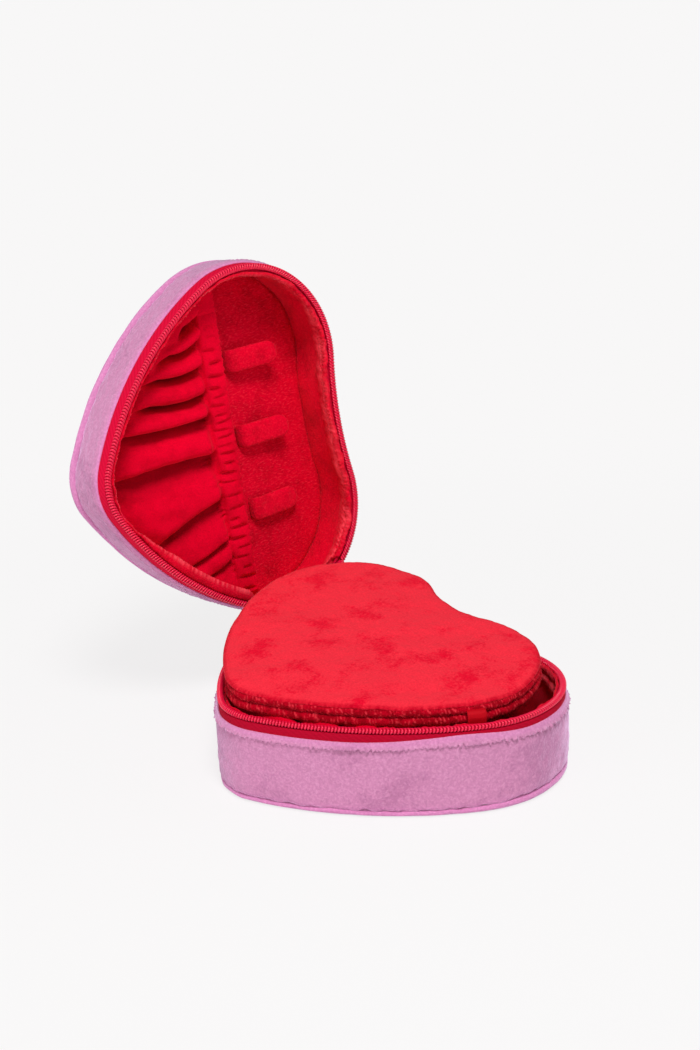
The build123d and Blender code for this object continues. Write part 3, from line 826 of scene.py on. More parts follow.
def edge_rings(outline, steps, rows):
    """Loops at insets and heights."""
    rows = np.asarray(rows) * MM
    grid = ring_points(outline, outline.even(steps), rows[:, 0], rows[:, 1])
    return [grid[:, index] for index in range(len(rows))]


def level_ring(flat, height):
    """Loop of points at one height."""
    return np.concatenate((flat, np.full((len(flat), 1), height)), axis=1)


def towards_middle(flat, share):
    """Loop of points drawn in to a share of the way from the middle of the heart."""
    return HEART_CENTRE + (flat - HEART_CENTRE) * share


def face_rings(outline, steps, inset, heights, shares):
    """Loops that shrink from an inset outline to the middle of the heart, with a height for each share."""
    point, normal = outline.at(outline.even(steps))
    edge = point - normal * inset
    return [level_ring(towards_middle(edge, share), height) for height, share in zip(heights, shares)]


def build_cover(shell, outline, seed):
    """Bottom or top cover: a flat face with a rolled edge under the seam."""
    place, depth, cover, _ = SHELLS[shell]
    floor = -depth
    crown = 0 if shell == "base" else 0.5 * MM
    shares = np.linspace(MIDDLE_SHARE, 1, 30)
    rings = face_rings(outline, PLATE_STEPS, 3 * MM, floor - crown * ease(1 - shares, 0, 0.5), shares)
    seam = SEAM_RISE[shell] - 0.1
    edge = [
        (2.2, 0.08), (1.3, 0.35), (0.65, 0.85), (0.3, 0.45 * seam), (0.2, 0.65 * seam), (0.35, 0.84 * seam),
        (0.8, 0.97 * seam), (1.3, seam), (1.8, 0.93 * seam), (2.2, 0.85 * seam),
    ]
    rolled_edge = np.array(edge) * MM
    arc = outline.even(PLATE_STEPS)
    point = outline.at(arc)[0]
    tip = ease(-point[:, :1], -20 * MM, 35 * MM) * (1 - ease(point[:, 1:], 2 * MM, 26 * MM))
    bulge = np.sin(math.pi * np.clip(rolled_edge[:, 1] / (seam * MM), 0, 1))
    puff = (0.2 + 0.9 * tip if shell == "lid" else 0.15 + 0 * tip) * bulge
    taller = 1 + seam_shift(shell, point) / (seam * MM)
    rolls = ring_points(outline, arc, rolled_edge[:, 0] - puff * MM, floor + rolled_edge[:, 1] * taller)
    rings += [rolls[:, index] for index in range(len(edge))]
    rings += face_rings(outline, PLATE_STEPS, 2.15 * MM, np.full(3, floor + 0.95 * MM), HIDDEN_SHARES)
    grid = np.stack(rings)
    free = ease(grid[..., 2], floor + 0.2 * MM, floor + 0.8 * MM) if shell == "base" else 1
    grid[..., 2] += 0.1 * lumps(grid, 9 * MM, seed + 9) * MM * free
    piece = loop_piece(
        f"{shell}_{cover}_panel", place(grid), MATERIALS["pink_velour"],
        closed=False, body=shell, nodes=[f"{shell}_{cover}_cover"], slot="pink_plush",
    )
    rolled = np.zeros(len(grid))
    rolled[len(shares) : len(shares) + len(edge)] = 0.7
    store_fold_and_painted_light(piece, grid.shape[:2], rolled[:, None])


class HEARTBOX_OT_covers(bpy.types.Operator):
    """Pink walls, hems, welts and covers of both shells"""

    bl_idname = "heartbox.covers"
    bl_label = "Covers"

    def execute(self, context):
        outline = box_outline()
        for seed, shell in ((10, "base"), (40, "lid")):
            build_wall(shell, outline, seed)
            build_hem(shell, outline, seed)
            build_welt(shell, outline, seed)
            build_cover(shell, outline, seed)
            dress_node(f"{shell}_{SHELLS[shell].cover}_board", "board")
            dress_node(f"{shell}_wall_board", "board")
        return {"FINISHED"}


# Linings


def lining_profile(floor):
    """Lining wall with two rolled edges, up its inner face and down behind: inset and height, in mm."""
    foot = floor + FLOOR_BUILD / MM
    return [
        (3.3, foot - 0.5), (3.3, foot + 1.5), (3.28, -13), (3.32, -10), (3.6, -8.9), (4.15, -7.6),
        (4.3, -6.2), (4.1, -5.0), (3.5, -4.4), (3.75, -3.9), (4.25, -3.0), (4.3, -2.0), (3.95, -1.1),
        (3.5, -0.8), (3.25, -1.3), (3.2, -2.4), (2.5, -3.4), (2.3, -6), (2.25, foot + 2), (2.5, foot - 0.5),
    ]


# Insets within which the lid's lining leaves room for the flap's edge and for the flap's strip
EDGE_ROOM = 3.05 * MM
STRIP_ROOM = 3.3 * MM


def flap_room(outline, arc, height, inset):
    """How much thinner the lid's lining is where the shut lid takes in the flap's edge and its strip."""
    point, _ = outline.at(arc)
    flanks = 1 - ease(point[:, :1], -12 * MM, 8 * MM)
    edge_limit = EDGE_ROOM + 5 * MM * ease(height, -6.5 * MM, -4.5 * MM)
    strip = ease(arc, 82 * MM, 88 * MM) * (1 - ease(arc, 120 * MM, 126 * MM))
    return np.maximum(
        flanks * np.maximum(inset - edge_limit, 0), strip[:, None] * np.maximum(inset - STRIP_ROOM, 0)
    )


def build_lining_wall(shell, outline, seed):
    """Fleece lining wall, with room for the slider, and in the lid for the flap."""
    place, floor = SHELLS[shell].place, -SHELLS[shell].depth
    arc = outline.even(2 * WALL_STEPS)
    profile = rounded_profile(lining_profile(floor / MM), 100) * MM
    grid = ring_points(outline, arc, profile[:, 0], profile[:, 1])
    shown = ease(profile[:, 0], 2.9 * MM, 3.3 * MM)
    rolls = ease(profile[:, 1], -11 * MM, -8 * MM)
    fluff = uneven(grid, seed + 1, (0.14, 4.5), (0.05, 1.3))
    wave = uneven(grid[:, :1], seed + 3, (0.22, 9), (0.1, 1.6))
    inset = profile[:, 0] + (0.18 * lumps(grid, 12 * MM, seed) + rolls * fluff) * shown * MM
    height = profile[:, 1] + rolls * wave * shown * MM
    point = outline.at(arc)[0]
    lobes = ease(point[:, :1], -25 * MM, 15 * MM)
    # Painted sheen: the pale fuzz colour on the rolled edges and their upper corner, stronger towards the
    # lobes, broken into strokes
    edge = ease(profile[:, 0], 3.7 * MM, 4.0 * MM) * np.exp(-(((profile[:, 1] / MM + 1.3) / 0.7) ** 2))
    painted_roll_sheen = (0.2 + 1.8 * lobes) * np.exp(-(((profile[:, 1] / MM + 4.6) / 2.2) ** 2))
    strokes = np.stack(np.broadcast_arrays(arc[:, None] + 0.5 * profile[:, 1], 0.2 * profile[:, 1]), axis=-1)
    strands = 0.42 + 0.2 * lumps(strokes, 1.5 * MM, seed + 6) + 0.2 * lumps(grid, 14 * MM, seed + 7)
    slider = outline.at_bearing(settings().zip.start - 8)
    near = 1 - ease(np.abs(arc - slider), 5.5 * MM, 8 * MM)
    # On the lid it stands out as a smooth collar behind the tip, and its edge curls in with the zip
    if shell == "lid":
        collar = ease(point[:, 1:], 17 * MM, 40 * MM) * (1 - ease(point[:, :1], -32 * MM, 5 * MM))
        inset = profile[:, 0] + (inset - profile[:, 0]) * (1 - 0.8 * collar)
        height = profile[:, 1] + (height - profile[:, 1]) * (1 - 0.8 * collar)
        painted_roll_sheen = painted_roll_sheen * (1 - collar)
        tatters = 0.2 * lumps(arc[:, None], 1.4 * MM, seed + 8)[:, None]
        ragged = tatters * ease(profile[:, 0], 3.95 * MM, 4.25 * MM)
        lip = (0.1 + 0.2 * lobes + 3.2 * collar) * ease(profile[:, 0], 3.3 * MM, 4.2 * MM) + ragged
        curl = (1 + lobes) * settings().zip.lid_curl * shown
        inset = inset + (curl + lip * MM) * ease(profile[:, 1], -6.5 * MM, -3.4 * MM)
        inset = inset - flap_room(outline, arc, profile[:, 1], inset)
    slider_low = -4.4 * MM
    height = height - near[:, None] * np.maximum(height - slider_low, 0)
    fuzz_and_painted_sheen = shown * strands * ((1.6 - 1.2 * lobes) * edge + painted_roll_sheen)
    piece = loop_piece(
        f"{shell}_lining", place(ring_points(outline, arc, inset, height)), MATERIALS["red_fleece"],
        body=shell, nodes=[f"{shell}_lining_wall"], slot="red_plush",
    )
    store_fold_and_painted_light(piece, grid.shape[:2], fuzz_and_painted_sheen)


def build_lining_panel(shell, outline, seed):
    """Brushed lining over the floor of one shell."""
    place, depth, _, panel = SHELLS[shell]
    top = FLOOR_BUILD - depth
    loops = 60
    shares = np.linspace(MIDDLE_SHARE, 1, loops)
    rings = face_rings(outline, PLATE_STEPS, 5.4 * MM, np.full(loops, top - 0.05 * MM), shares)
    edge = [(4.6, -0.12), (4.0, -0.3), (3.5, -0.6), (3.0, -0.8), (2.6, -0.9), (2.6, -1.15)]
    rings += edge_rings(outline, PLATE_STEPS, [(inset, top / MM + rise) for inset, rise in edge])
    rings += face_rings(outline, PLATE_STEPS, 4.2 * MM, np.full(3, top - 1.15 * MM), HIDDEN_SHARES)
    grid = np.stack(rings)
    grid[:loops, :, 2] += 0.06 * lumps(grid[:loops], 14 * MM, seed + 5) * MM
    piece = loop_piece(
        f"{shell}_lining_sheet", place(grid), MATERIALS["red_lining"],
        closed=False, body=shell, nodes=[f"{shell}_lining_{panel}"], slot="red_plush",
    )
    store_map(piece, grid[..., 0], grid[..., 1])


class HEARTBOX_OT_linings(bpy.types.Operator):
    """Red lining walls with their rolled edges, and the panels on the floors"""

    bl_idname = "heartbox.linings"
    bl_label = "Linings"

    def execute(self, context):
        outline = box_outline()
        for seed, shell in ((110, "base"), (140, "lid")):
            build_lining_wall(shell, outline, seed)
            build_lining_panel(shell, outline, seed)
        return {"FINISHED"}


# Zip


# Steps of the wire in each turn of the coil
TURN_STEPS = 10


def zip_run(outline, shell, margin=0.0):
    """Arc lengths of the zip's two ends, the second past the outline's start."""
    zip_sizes = settings().zip
    start = zip_sizes.start if shell == "base" else zip_sizes.lid_start
    return outline.at_bearing(start) + margin, outline.at_bearing(zip_sizes.end) + outline.length - margin


def tube(path, side, up, radius, sides):
    """Loops of a round tube along a path, with two cross directions for each point."""
    angle = np.linspace(0, 2 * math.pi, sides, endpoint=False)
    across = side[:, None, :] * np.cos(angle)[None, :, None] + up[:, None, :] * np.sin(angle)[None, :, None]
    return path[:, None, :] + across * radius


def build_coil(shell, outline):
    """Nylon coil: one wire wound along the rim, and the cord that it is wound round."""
    place = SHELLS[shell].place
    zip_sizes = settings().zip
    start, end = zip_run(outline, shell, 0.4 * MM)
    turns = round((end - start) / zip_sizes.pitch)
    steps = turns * TURN_STEPS + 1
    arc = np.linspace(start, end, steps)
    angle = np.linspace(0, turns * 2 * math.pi, steps)
    half_width = zip_sizes.coil_width / 2 - zip_sizes.wire
    half_height = zip_sizes.coil_height / 2 - zip_sizes.wire
    middle = -zip_sizes.coil_height / 2 - 0.05 * MM
    curl = zip_sizes.lid_curl if shell == "lid" else 0
    rise = middle + half_height * np.sin(angle)
    point, normal = outline.at(arc - zip_sizes.lean * np.sin(angle) - zip_sizes.bow * np.cos(angle))
    inset = zip_sizes.coil_inset + curl - half_width * np.cos(angle)
    path = np.concatenate((point - normal * inset[:, None], rise[:, None]), axis=1)
    ahead = unit(np.gradient(path, axis=0))
    out = np.concatenate((normal * np.cos(angle)[:, None], np.sin(angle)[:, None]), axis=1)
    side = unit(np.cross(ahead, out))
    wire = tube(path, side, np.cross(side, ahead), zip_sizes.wire, 6)
    loop_piece(
        f"{shell}_coil", place(wire), MATERIALS["nylon_coil"],
        closed=False, body=shell, nodes=[f"{shell}_zip_coil"], slot="red_zip_coil",
    )
    turn = np.linspace(0, 2 * math.pi, 16, endpoint=False)
    deep = 0.34 * MM
    core_width, core_height = zip_sizes.coil_width / 2 - deep, zip_sizes.coil_height / 2 - deep
    core = np.stack((core_width * np.cos(turn), core_height * np.sin(turn)), axis=1)
    arc = np.linspace(start, end, 420)
    grid = ring_points(outline, arc, zip_sizes.coil_inset + curl + core[:, 0], middle + core[:, 1])
    loop_piece(
        f"{shell}_coil_cord", place(grid), MATERIALS["zip_cord"],
        closed=False, body=shell, slot="red_zip_coil",
    )


def tape_profile():
    """Zip tape from behind the hem up to the coil and in under it to the lining: inset and height, in mm."""
    low, top = HEM_TOP / MM - 1.2, -settings().zip.coil_height / MM - 0.15
    return [
        (1.0, low - 0.9), (0.95, low), (0.8, low + 1.8), (0.86, top - 0.35), (1.2, top + 0.1), (2.9, top),
        (3.1, -1.9), (4.0, -1.8), (4.0, -2.3), (3.2, -2.4), (3.0, top - 0.6), (1.5, top - 0.6), (1.42, low),
        (1.4, low - 0.9),
    ]


def build_tape(shell, outline):
    """Woven tape from the hem up behind the coil."""
    place = SHELLS[shell].place
    arc = np.linspace(*zip_run(outline, "base"), WALL_STEPS)
    profile = rounded_profile(tape_profile(), 44) * MM
    if shell == "lid":
        profile[:, 0] += settings().zip.lid_curl * ease(profile[:, 1], HEM_TOP - 1 * MM, COIL_LOW - 0.6 * MM)
    grid = ring_points(outline, arc, profile[:, 0], profile[:, 1])
    piece = loop_piece(
        f"{shell}_tape", place(grid), MATERIALS["twill_tape"],
        closed=False, body=shell, nodes=[f"{shell}_zip_tape"], slot="red_zip_tape",
    )
    across = np.cumsum(np.linalg.norm(np.diff(profile, axis=0, prepend=profile[:1]), axis=1))
    store_map(piece, np.broadcast_to(arc[:, None], grid.shape[:2]), np.broadcast_to(across, grid.shape[:2]))
    # Painted shade: most on the base, where the tape lies under the coil and hem, a little on the lid
    store_fold_and_painted_light(piece, grid.shape[:2], 0.72 if shell == "base" else 0.3)


class HEARTBOX_OT_zip(bpy.types.Operator):
    """Zip tapes, nylon coils, end stops, slider and pull"""

    bl_idname = "heartbox.zip"
    bl_label = "Zip"

    def execute(self, context):
        outline = box_outline()
        for shell in SHELLS:
            build_coil(shell, outline)
            build_tape(shell, outline)
            dress_node(f"{shell}_zip_stops", "nylon_coil")
        dress_node("zip_slider", "enamel")
        dress_node("zip_pull", "enamel")
        return {"FINISHED"}


# Hinge cloth


def hinge_grid(outline, arc):
    """Hinge cloth along the back lobe: up the base from behind its hem, in at the crease, and down the lid.

    Below the crease its inner face reaches in to the lining.
    """
    rows = 16
    rise = np.linspace(HEM_TOP - 2.4 * MM, -0.9 * MM, rows)
    reach = 0.95 * MM + 2.05 * MM * (1 - ease(rise, -2.8 * MM, -1.6 * MM))
    inner = np.broadcast_to(reach, (len(arc), rows))
    point, _ = outline.at(arc)
    outer = {}
    for shell in SHELLS:
        top = HEM_TOP + hem_shift(shell, point)[0]
        outer[shell] = 0.05 * MM + 0.9 * MM * (1 - ease(rise - top, -1.2 * MM, 0.5 * MM)) + 0 * inner
    faces = []
    for place, inset, order in (
        (on_base, outer["base"], 1), (on_lid, outer["lid"], -1), (on_lid, inner, 1), (on_base, inner, -1)
    ):
        faces.append(place(ring_points(outline, arc, inset, rise))[:, ::order])
    return np.concatenate(faces, axis=1)


class HEARTBOX_OT_hinge_cloth(bpy.types.Operator):
    """Strip of pink velour that joins base and lid on the back lobe"""

    bl_idname = "heartbox.hinge_cloth"
    bl_label = "Hinge cloth"

    def execute(self, context):
        outline = box_outline()
        zip_sizes = settings().zip
        start, end = outline.at_bearing(zip_sizes.end), outline.at_bearing(zip_sizes.start)
        arc = np.linspace(start - 1.2 * MM, end + 1.2 * MM, 70)
        piece = loop_piece(
            "hinge_cloth", hinge_grid(outline, arc), MATERIALS["pink_velour"], closed=False,
            nodes=["base_hinge_half", "lid_hinge_half"], slot="pink_plush",
        )
        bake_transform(piece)
        return {"FINISHED"}


# Compartments


def build_roll(number, outline):
    """Ring bar: a plush roll from lining to lining, with a round top and rounded ends."""
    node = f"ring_bar_{number}"
    low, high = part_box(node)
    half = (high.x - low.x) / 2
    middle = (low.x + high.x) / 2
    shoulder = high.z - half
    across = np.sin(np.linspace(-math.pi / 2, math.pi / 2, 15))
    section = [(share * half, shoulder + math.sqrt(max(0, 1 - share * share)) * half) for share in across]
    section += [(half, shoulder + (low.z - shoulder) * share) for share in (0.4, 0.8, 1)]
    section += [(0, low.z)]
    section += [(-half, shoulder + (low.z - shoulder) * share) for share in (1, 0.8, 0.4)]
    section = np.array(section)
    x = middle + section[:, 0]
    reach = outline.half_width(x, 3.7 * MM)
    along = np.sin(np.linspace(-math.pi / 2, math.pi / 2, 61))
    y = along[:, None] * reach
    inner = 1 - float(ease(-middle, 36 * MM, 46 * MM))
    end = (6 + 8 * inner) * MM
    sunk = np.clip((np.abs(y) - reach + end) / end, 0, 1)
    crown = ease(section[:, 1], shoulder - 0.5 * MM, shoulder + half)
    z = section[:, 1] - (1 - np.sqrt(1 - sunk**2)) * (3.4 + 2.6 * inner) * MM * crown
    grid = np.stack((np.broadcast_to(x, y.shape), y, z), axis=-1)
    grid[..., 2] += 0.12 * lumps(grid, 8 * MM, 200 + number) * MM * crown
    piece = loop_piece(
        f"ring_roll_{number}", grid, MATERIALS["red_velour"],
        closed=False, body="base", nodes=[node], slot="red_plush",
    )


def build_cross_divider(outline):
    """Padded divider from flank to flank."""
    low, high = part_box("cross_divider")
    half = (high.x - low.x) / 2
    middle = (low.x + high.x) / 2
    profile = divider_profile(half, high.z - low.z)
    reach = outline.half_width(middle + profile[:, 0], 3.5 * MM)
    along = np.linspace(-1, 1, 80)
    y = along[:, None] * reach
    grid = np.stack(np.broadcast_arrays(middle + profile[:, 0], y, low.z + profile[:, 1]), axis=-1)
    finish_divider("cross_divider", grid, low, 220)


def build_lobe_divider():
    """Padded divider from the cross divider to the cleft."""
    low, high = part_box("lobe_divider")
    half = (high.y - low.y) / 2
    profile = divider_profile(half, high.z - low.z)
    x = np.linspace(low.x, high.x, 60)[:, None]
    grid = np.stack(np.broadcast_arrays(x, profile[:, 0], low.z + profile[:, 1]), axis=-1)
    finish_divider("lobe_divider", grid, low, 221)


def divider_profile(half, height):
    """Slim cushion with a round top edge: across and up."""
    return rounded_profile(
        [
            (-half, 0.02 * height), (-half, 0.5 * height), (-half, height - half), (0, height),
            (half, height - half), (half, 0.5 * height), (half, 0.02 * height), (0, 0),
        ],
        36,
    )


def finish_divider(node, grid, low, seed):
    """Divider piece with a slightly uneven top."""
    upper = ease(grid[..., 2], low.z + 1 * MM, low.z + 8 * MM)
    grid[..., 2] += 0.15 * lumps(grid, 9 * MM, seed) * MM * upper
    piece = loop_piece(
        f"{node}_pad", grid, MATERIALS["red_velour"],
        closed=False, body="base", nodes=[node], slot="red_plush",
    )


def build_bed(outline):
    """Foam block under the ring bars, with eased edges."""
    low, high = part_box("ring_bar_bed")
    x = np.concatenate(([low.x + 0.2 * MM], np.linspace(low.x + 0.5 * MM, high.x, 40)))
    reach = outline.half_width(x, 3.6 * MM)
    ring = np.array([
        (-1, 0.0), (-1, 0.95), (-0.99, 1.0), (-0.5, 1.0), (0.5, 1.0), (0.99, 1.0), (1, 0.95), (1, 0.0),
        (0, 0.0),
    ])
    y = reach[:, None] * ring[:, 0]
    grid = np.stack(np.broadcast_arrays(x[:, None], y, low.z + (high.z - low.z) * ring[:, 1]), axis=-1)
    piece = loop_piece(
        "ring_foam_bed", grid, MATERIALS["foam"],
        closed=False, body="base", nodes=["ring_bar_bed"], slot="foam",
    )


class HEARTBOX_OT_compartments(bpy.types.Operator):
    """Dividers, ring bars and their foam bed in the base"""

    bl_idname = "heartbox.compartments"
    bl_label = "Compartments"

    def execute(self, context):
        outline = box_outline()
        for number in range(1, 6):
            build_roll(number, outline)
        build_cross_divider(outline)
        build_lobe_divider()
        build_bed(outline)
        return {"FINISHED"}


# Flap

# Way that the loose plush of the flap is pushed over, from the front lobe to the back of the tip
PUSH = (-0.83, 0.56, 0.0)


def flap_droop(points):
    """Points of the flap with its tip hanging down."""
    share = np.clip((-points[..., 0] - 30 * MM) / (42 * MM), 0, None)
    lowered = points.copy()
    front = ease(-points[..., 1], 15 * MM, 50 * MM) * (1 - ease(points[..., 0], -5 * MM, 25 * MM))
    lowered[..., 2] -= settings().flap.droop * share**2 + 0.8 * MM * front
    return lowered


def flap_edge(outline, arc):
    """Inset of the flap's edge along the outline: less full at the tip, and pushed over to one side."""
    flap = settings().flap
    from_tip = np.minimum(arc, outline.length - arc)
    _, normal = outline.at(arc)
    pushed = normal @ np.array(PUSH[:2])
    return flap.inset + 0.5 * MM * (1 - ease(from_tip, 10 * MM, 40 * MM)) - flap.slip * pushed


def press_in(piece):
    """Give a piece of the flap a mesh of its own."""
    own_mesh(piece)


def build_cushion(name, node, outline, edge, face_low, face_high, material, seed):
    """Pad of the flap: a crowned face (from the middle out), its rounded edge, and the flat inner face."""
    arc = outline.even(WALL_STEPS)
    base_inset = flap_edge(outline, arc)
    point, normal = outline.at(arc)

    def drawn_in(inset):
        return point - normal * (base_inset + inset * MM)[:, None]

    rings = []
    shares = np.linspace(MIDDLE_SHARE, 1, 70)
    crown, rim = face_high
    for share in shares:
        height = rim + (crown - rim) * (1 - ease(share, 0.45, 1))
        rings.append(level_ring(towards_middle(drawn_in(edge[0][0]), share), height * MM))
    for inset, height in edge[1:]:
        rings.append(level_ring(drawn_in(inset), height * MM))
    for share in HIDDEN_SHARES:
        rings.append(level_ring(towards_middle(drawn_in(3), share), face_low * MM))
    grid = np.stack(rings)
    shown = np.zeros(len(rings))
    shown[: len(shares) + len(edge) - 2] = 1
    swell = uneven(grid, seed, (0.22, 22), (0.07, 7), (0.03, 2.4))
    grid[..., 2] += swell * shown[:, None] * MM
    piece = loop_piece(
        name, on_flap(flap_droop(grid)), material,
        closed=False, body="flap", nodes=[node], slot="red_plush",
    )
    parted = np.zeros(len(rings))
    parted[len(shares) : len(shares) + len(edge) - 1] = 1 - ease(np.array(edge[1:])[:, 0], 0.9, 2.6)
    tufts = np.clip(0.85 + 0.2 * lumps(arc[:, None], 1.3 * MM, seed + 3), 0, 1)
    store_fold_and_painted_light(piece, grid.shape[:2], parted[:, None] * tufts[None, :])
    press_in(piece)


# Steps round the flap and spacing of the strands of its pipings
PIPING_STEPS = 1700
STRAND_PITCH = 1.8 * MM


def build_piping(name, node, outline, inset, level, radius, seed):
    """Chenille piping round the flap: a twisted roll with slanting strands whose crests carry a pale painted
    highlight.
    """
    angle = np.linspace(0, 2 * math.pi, 18, endpoint=False)
    arc = outline.even(PIPING_STEPS)
    turns = round(outline.length / STRAND_PITCH)
    slant = 1.6 * lumps(arc[:, None], 7 * MM, seed + 2)[:, None]
    strands = np.sin(2 * math.pi * turns * arc[:, None] / outline.length + slant - 2.4 * angle[None, :])
    flat = np.stack((arc[:, None] + 0 * angle, 0 * arc[:, None] + angle * radius * MM), axis=-1)
    rough = lumps(flat, 1.3 * MM, seed)
    fluff = 0.06 * strands + 0.06 * rough
    wave = 0.12 * lumps(arc[:, None], 11 * MM, seed + 1)
    reach = (radius + fluff) * MM
    back = ease(outline.at(arc)[1][:, 1:], -0.3, 0.5)
    edge = flap_edge(outline, arc)[:, None] + 0.9 * MM * back
    height = (level + wave[:, None]) * MM + reach * np.sin(angle)
    grid = ring_points(outline, arc, edge + inset * MM - reach * np.cos(angle), height)
    piece = loop_piece(
        name, on_flap(flap_droop(grid)), MATERIALS["red_chenille"],
        body="flap", nodes=[node], slot="red_plush",
    )
    # Painted highlight on the strands' crests
    sparse = 0.5 * lumps(flat, 5 * MM, seed + 3)
    store_fold_and_painted_light(piece, grid.shape[:2], 0.8 * ease(strands + 0.6 * rough + sparse, 0.6, 1.8))
    press_in(piece)


def build_ribbon():
    """Pull ribbon sewn between the two pipings, turned down over the lower one."""
    ribbon = settings().ribbon
    angle = math.radians(ribbon.bearing)
    out = np.array((math.cos(angle), math.sin(angle), 0))
    along = np.array((-math.sin(angle), math.cos(angle), 0))
    centre = np.array((0, -LOBE_OFFSET, 0)) + out * LOBE_RADIUS
    seam = -3.4
    end = seam - ribbon.drop / MM
    line = np.array([
        (-8.0, seam), (-6.0, seam), (-5.0, -3.45), (-4.4, -4.0), (-4.1, -5.2), (-4.25, -6.6), (-4.5, -8.0),
        (-4.45, end + 1.2), (-4.2, end),
    ])
    arc = path_lengths(line)
    steps = np.linspace(0, arc[-1], 40)
    run = points_at(steps, arc, line)
    ahead = unit(np.gradient(run, axis=0))
    side = np.stack((ahead[:, 1], -ahead[:, 0]), axis=1)
    half = ribbon.width / 2
    across = np.linspace(-half, half, 11)
    face = 0.3 * MM
    section = np.array([(place, face) for place in across] + [(place, -face) for place in across[::-1]])
    radial = run[:, :1] * MM + side[:, :1] * section[:, 1]
    height = run[:, 1:] * MM + side[:, 1:] * section[:, 1]
    sway = 0.25 * MM * np.sin(section[:, 0] / half * 2.2)[None, :] * (steps / steps[-1])[:, None]
    grid = centre + (radial + sway)[..., None] * out + section[:, 0][None, :, None] * along
    grid = grid + height[..., None] * np.array((0, 0, 1.0))
    grid = on_flap(grid)
    piece = loop_piece(
        "pull_ribbon", grid, MATERIALS["satin"],
        closed=False, body="flap", nodes=["flap_pull_ribbon"], slot="red_ribbon",
    )
    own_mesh(piece)


class HEARTBOX_OT_flap(bpy.types.Operator):
    """Padded flap: two cushions, two pipings, the pull ribbon and the board inside"""

    bl_idname = "heartbox.flap"
    bl_label = "Flap"

    def execute(self, context):
        outline = HeartOutline(settings().heart.flap_cleft_radius)
        top_edge = [
            (5.0, 0.28), (3.4, 0.15), (2.2, -0.08), (1.4, -0.35), (0.9, -0.7), (0.75, -1.1), (1.1, -1.6),
            (2.0, -2.4),
        ]
        low_edge = [
            (5.0, -7.1), (3.4, -6.95), (2.2, -6.7), (1.4, -6.3), (0.9, -5.8), (0.9, -5.2), (1.2, -4.6),
            (1.8, -4.1),
        ]
        build_cushion(
            "flap_top_cushion", "flap_top_pad", outline, top_edge, -2.95, (0.55, 0.28),
            MATERIALS["red_plush"], 300,
        )
        build_cushion(
            "flap_low_cushion", "flap_bottom_pad", outline, low_edge, -3.85, (-7.1, -7.1),
            MATERIALS["red_velour"], 310,
        )
        build_piping("flap_top_cord", "flap_top_piping", outline, 2.05, -2.6, 1.65, 320)
        build_piping("flap_low_cord", "flap_bottom_piping", outline, 1.95, -6.05, 1.75, 330)
        build_ribbon()
        dress_node("flap_board", "board")
        return {"FINISHED"}


class HEARTBOX_OT_flap_strip(bpy.types.Operator):
    """Cloth strip that carries the flap's back edge"""

    bl_idname = "heartbox.flap_strip"
    bl_label = "Flap strip"

    def execute(self, context):
        outline = box_outline()
        low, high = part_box("flap_hinge_strip")
        arc = np.linspace(outline.at_bearing(110), outline.at_bearing(70), 60)
        rise, foot = (high.z - RIM) / MM, (low.z - RIM) / MM
        line = np.array([
            (3.75, foot), (3.75, -8), (4.4, -5), (4.4, -1), (4.0, 4), (4.1, rise - 1.6), (4.8, rise - 0.5),
            (6.2, rise - 0.2), (7.0, rise - 0.2),
        ])
        back = line + np.array((0.5, -0.1))
        back[-3:] = line[-3:] + np.array((0.1, -0.55))
        profile = np.concatenate((line, back[::-1])) * MM
        grid = on_base(ring_points(outline, arc, profile[:, 0], profile[:, 1]))
        piece = loop_piece(
            "flap_strip_cloth", grid, MATERIALS["red_velour"],
            closed=False, nodes=["flap_hinge_strip"], slot="red_plush",
        )
        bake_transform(piece)
        return {"FINISHED"}


# Pocket

# Fold lines of the pocket, from the casing towards the wall: Y at the casing, X and Y of the far end and bow,
# in mm, and how far down its space the swell behind the line has its top
FOLDS = [
    (-64, -16, -64, 0, 0.6), (-52, -22, -48, 0.6, 0.6), (-44, -30, -40, 1.8, 0.62),
    (-32.8, -36, -32.3, 1.5, 0.62), (-21.8, -40, -23, 1.4, 0.66), (-12.7, -52, -14.6, 1.0, 0.72),
    (2.6, -64, 1.3, -1.0, 0.8), (20.8, -47, 31, -1.0, 0.84), (37.2, -32, 42.6, 0.5, 0.7),
    (45.4, -27, 50, 0.5, 0.6), (64, -16, 64, 0, 0.6),
]


def pocket_roof(x, y):
    """Height of the pocket's roof above the lining."""
    pocket = settings().pocket
    fall = (pocket.mouth_height - pocket.tip_height) / (pocket.mouth_x + TIP_END)
    return pocket.mouth_height - pocket.lean * y - fall * (pocket.mouth_x - x)


def gather_phase(x, y):
    """Running count of the small gathers along the casing, which wander a little across it."""
    pitch = 2 * LOBE_OFFSET * 2.1 / settings().pocket.gathers
    flat = np.stack((x, y), axis=-1)
    wander = 0.3 * lumps(y.reshape(-1, 1), 17 * MM, 400).reshape(y.shape)
    return y / pitch + wander + 0.05 * lumps(flat, 8 * MM, 401)


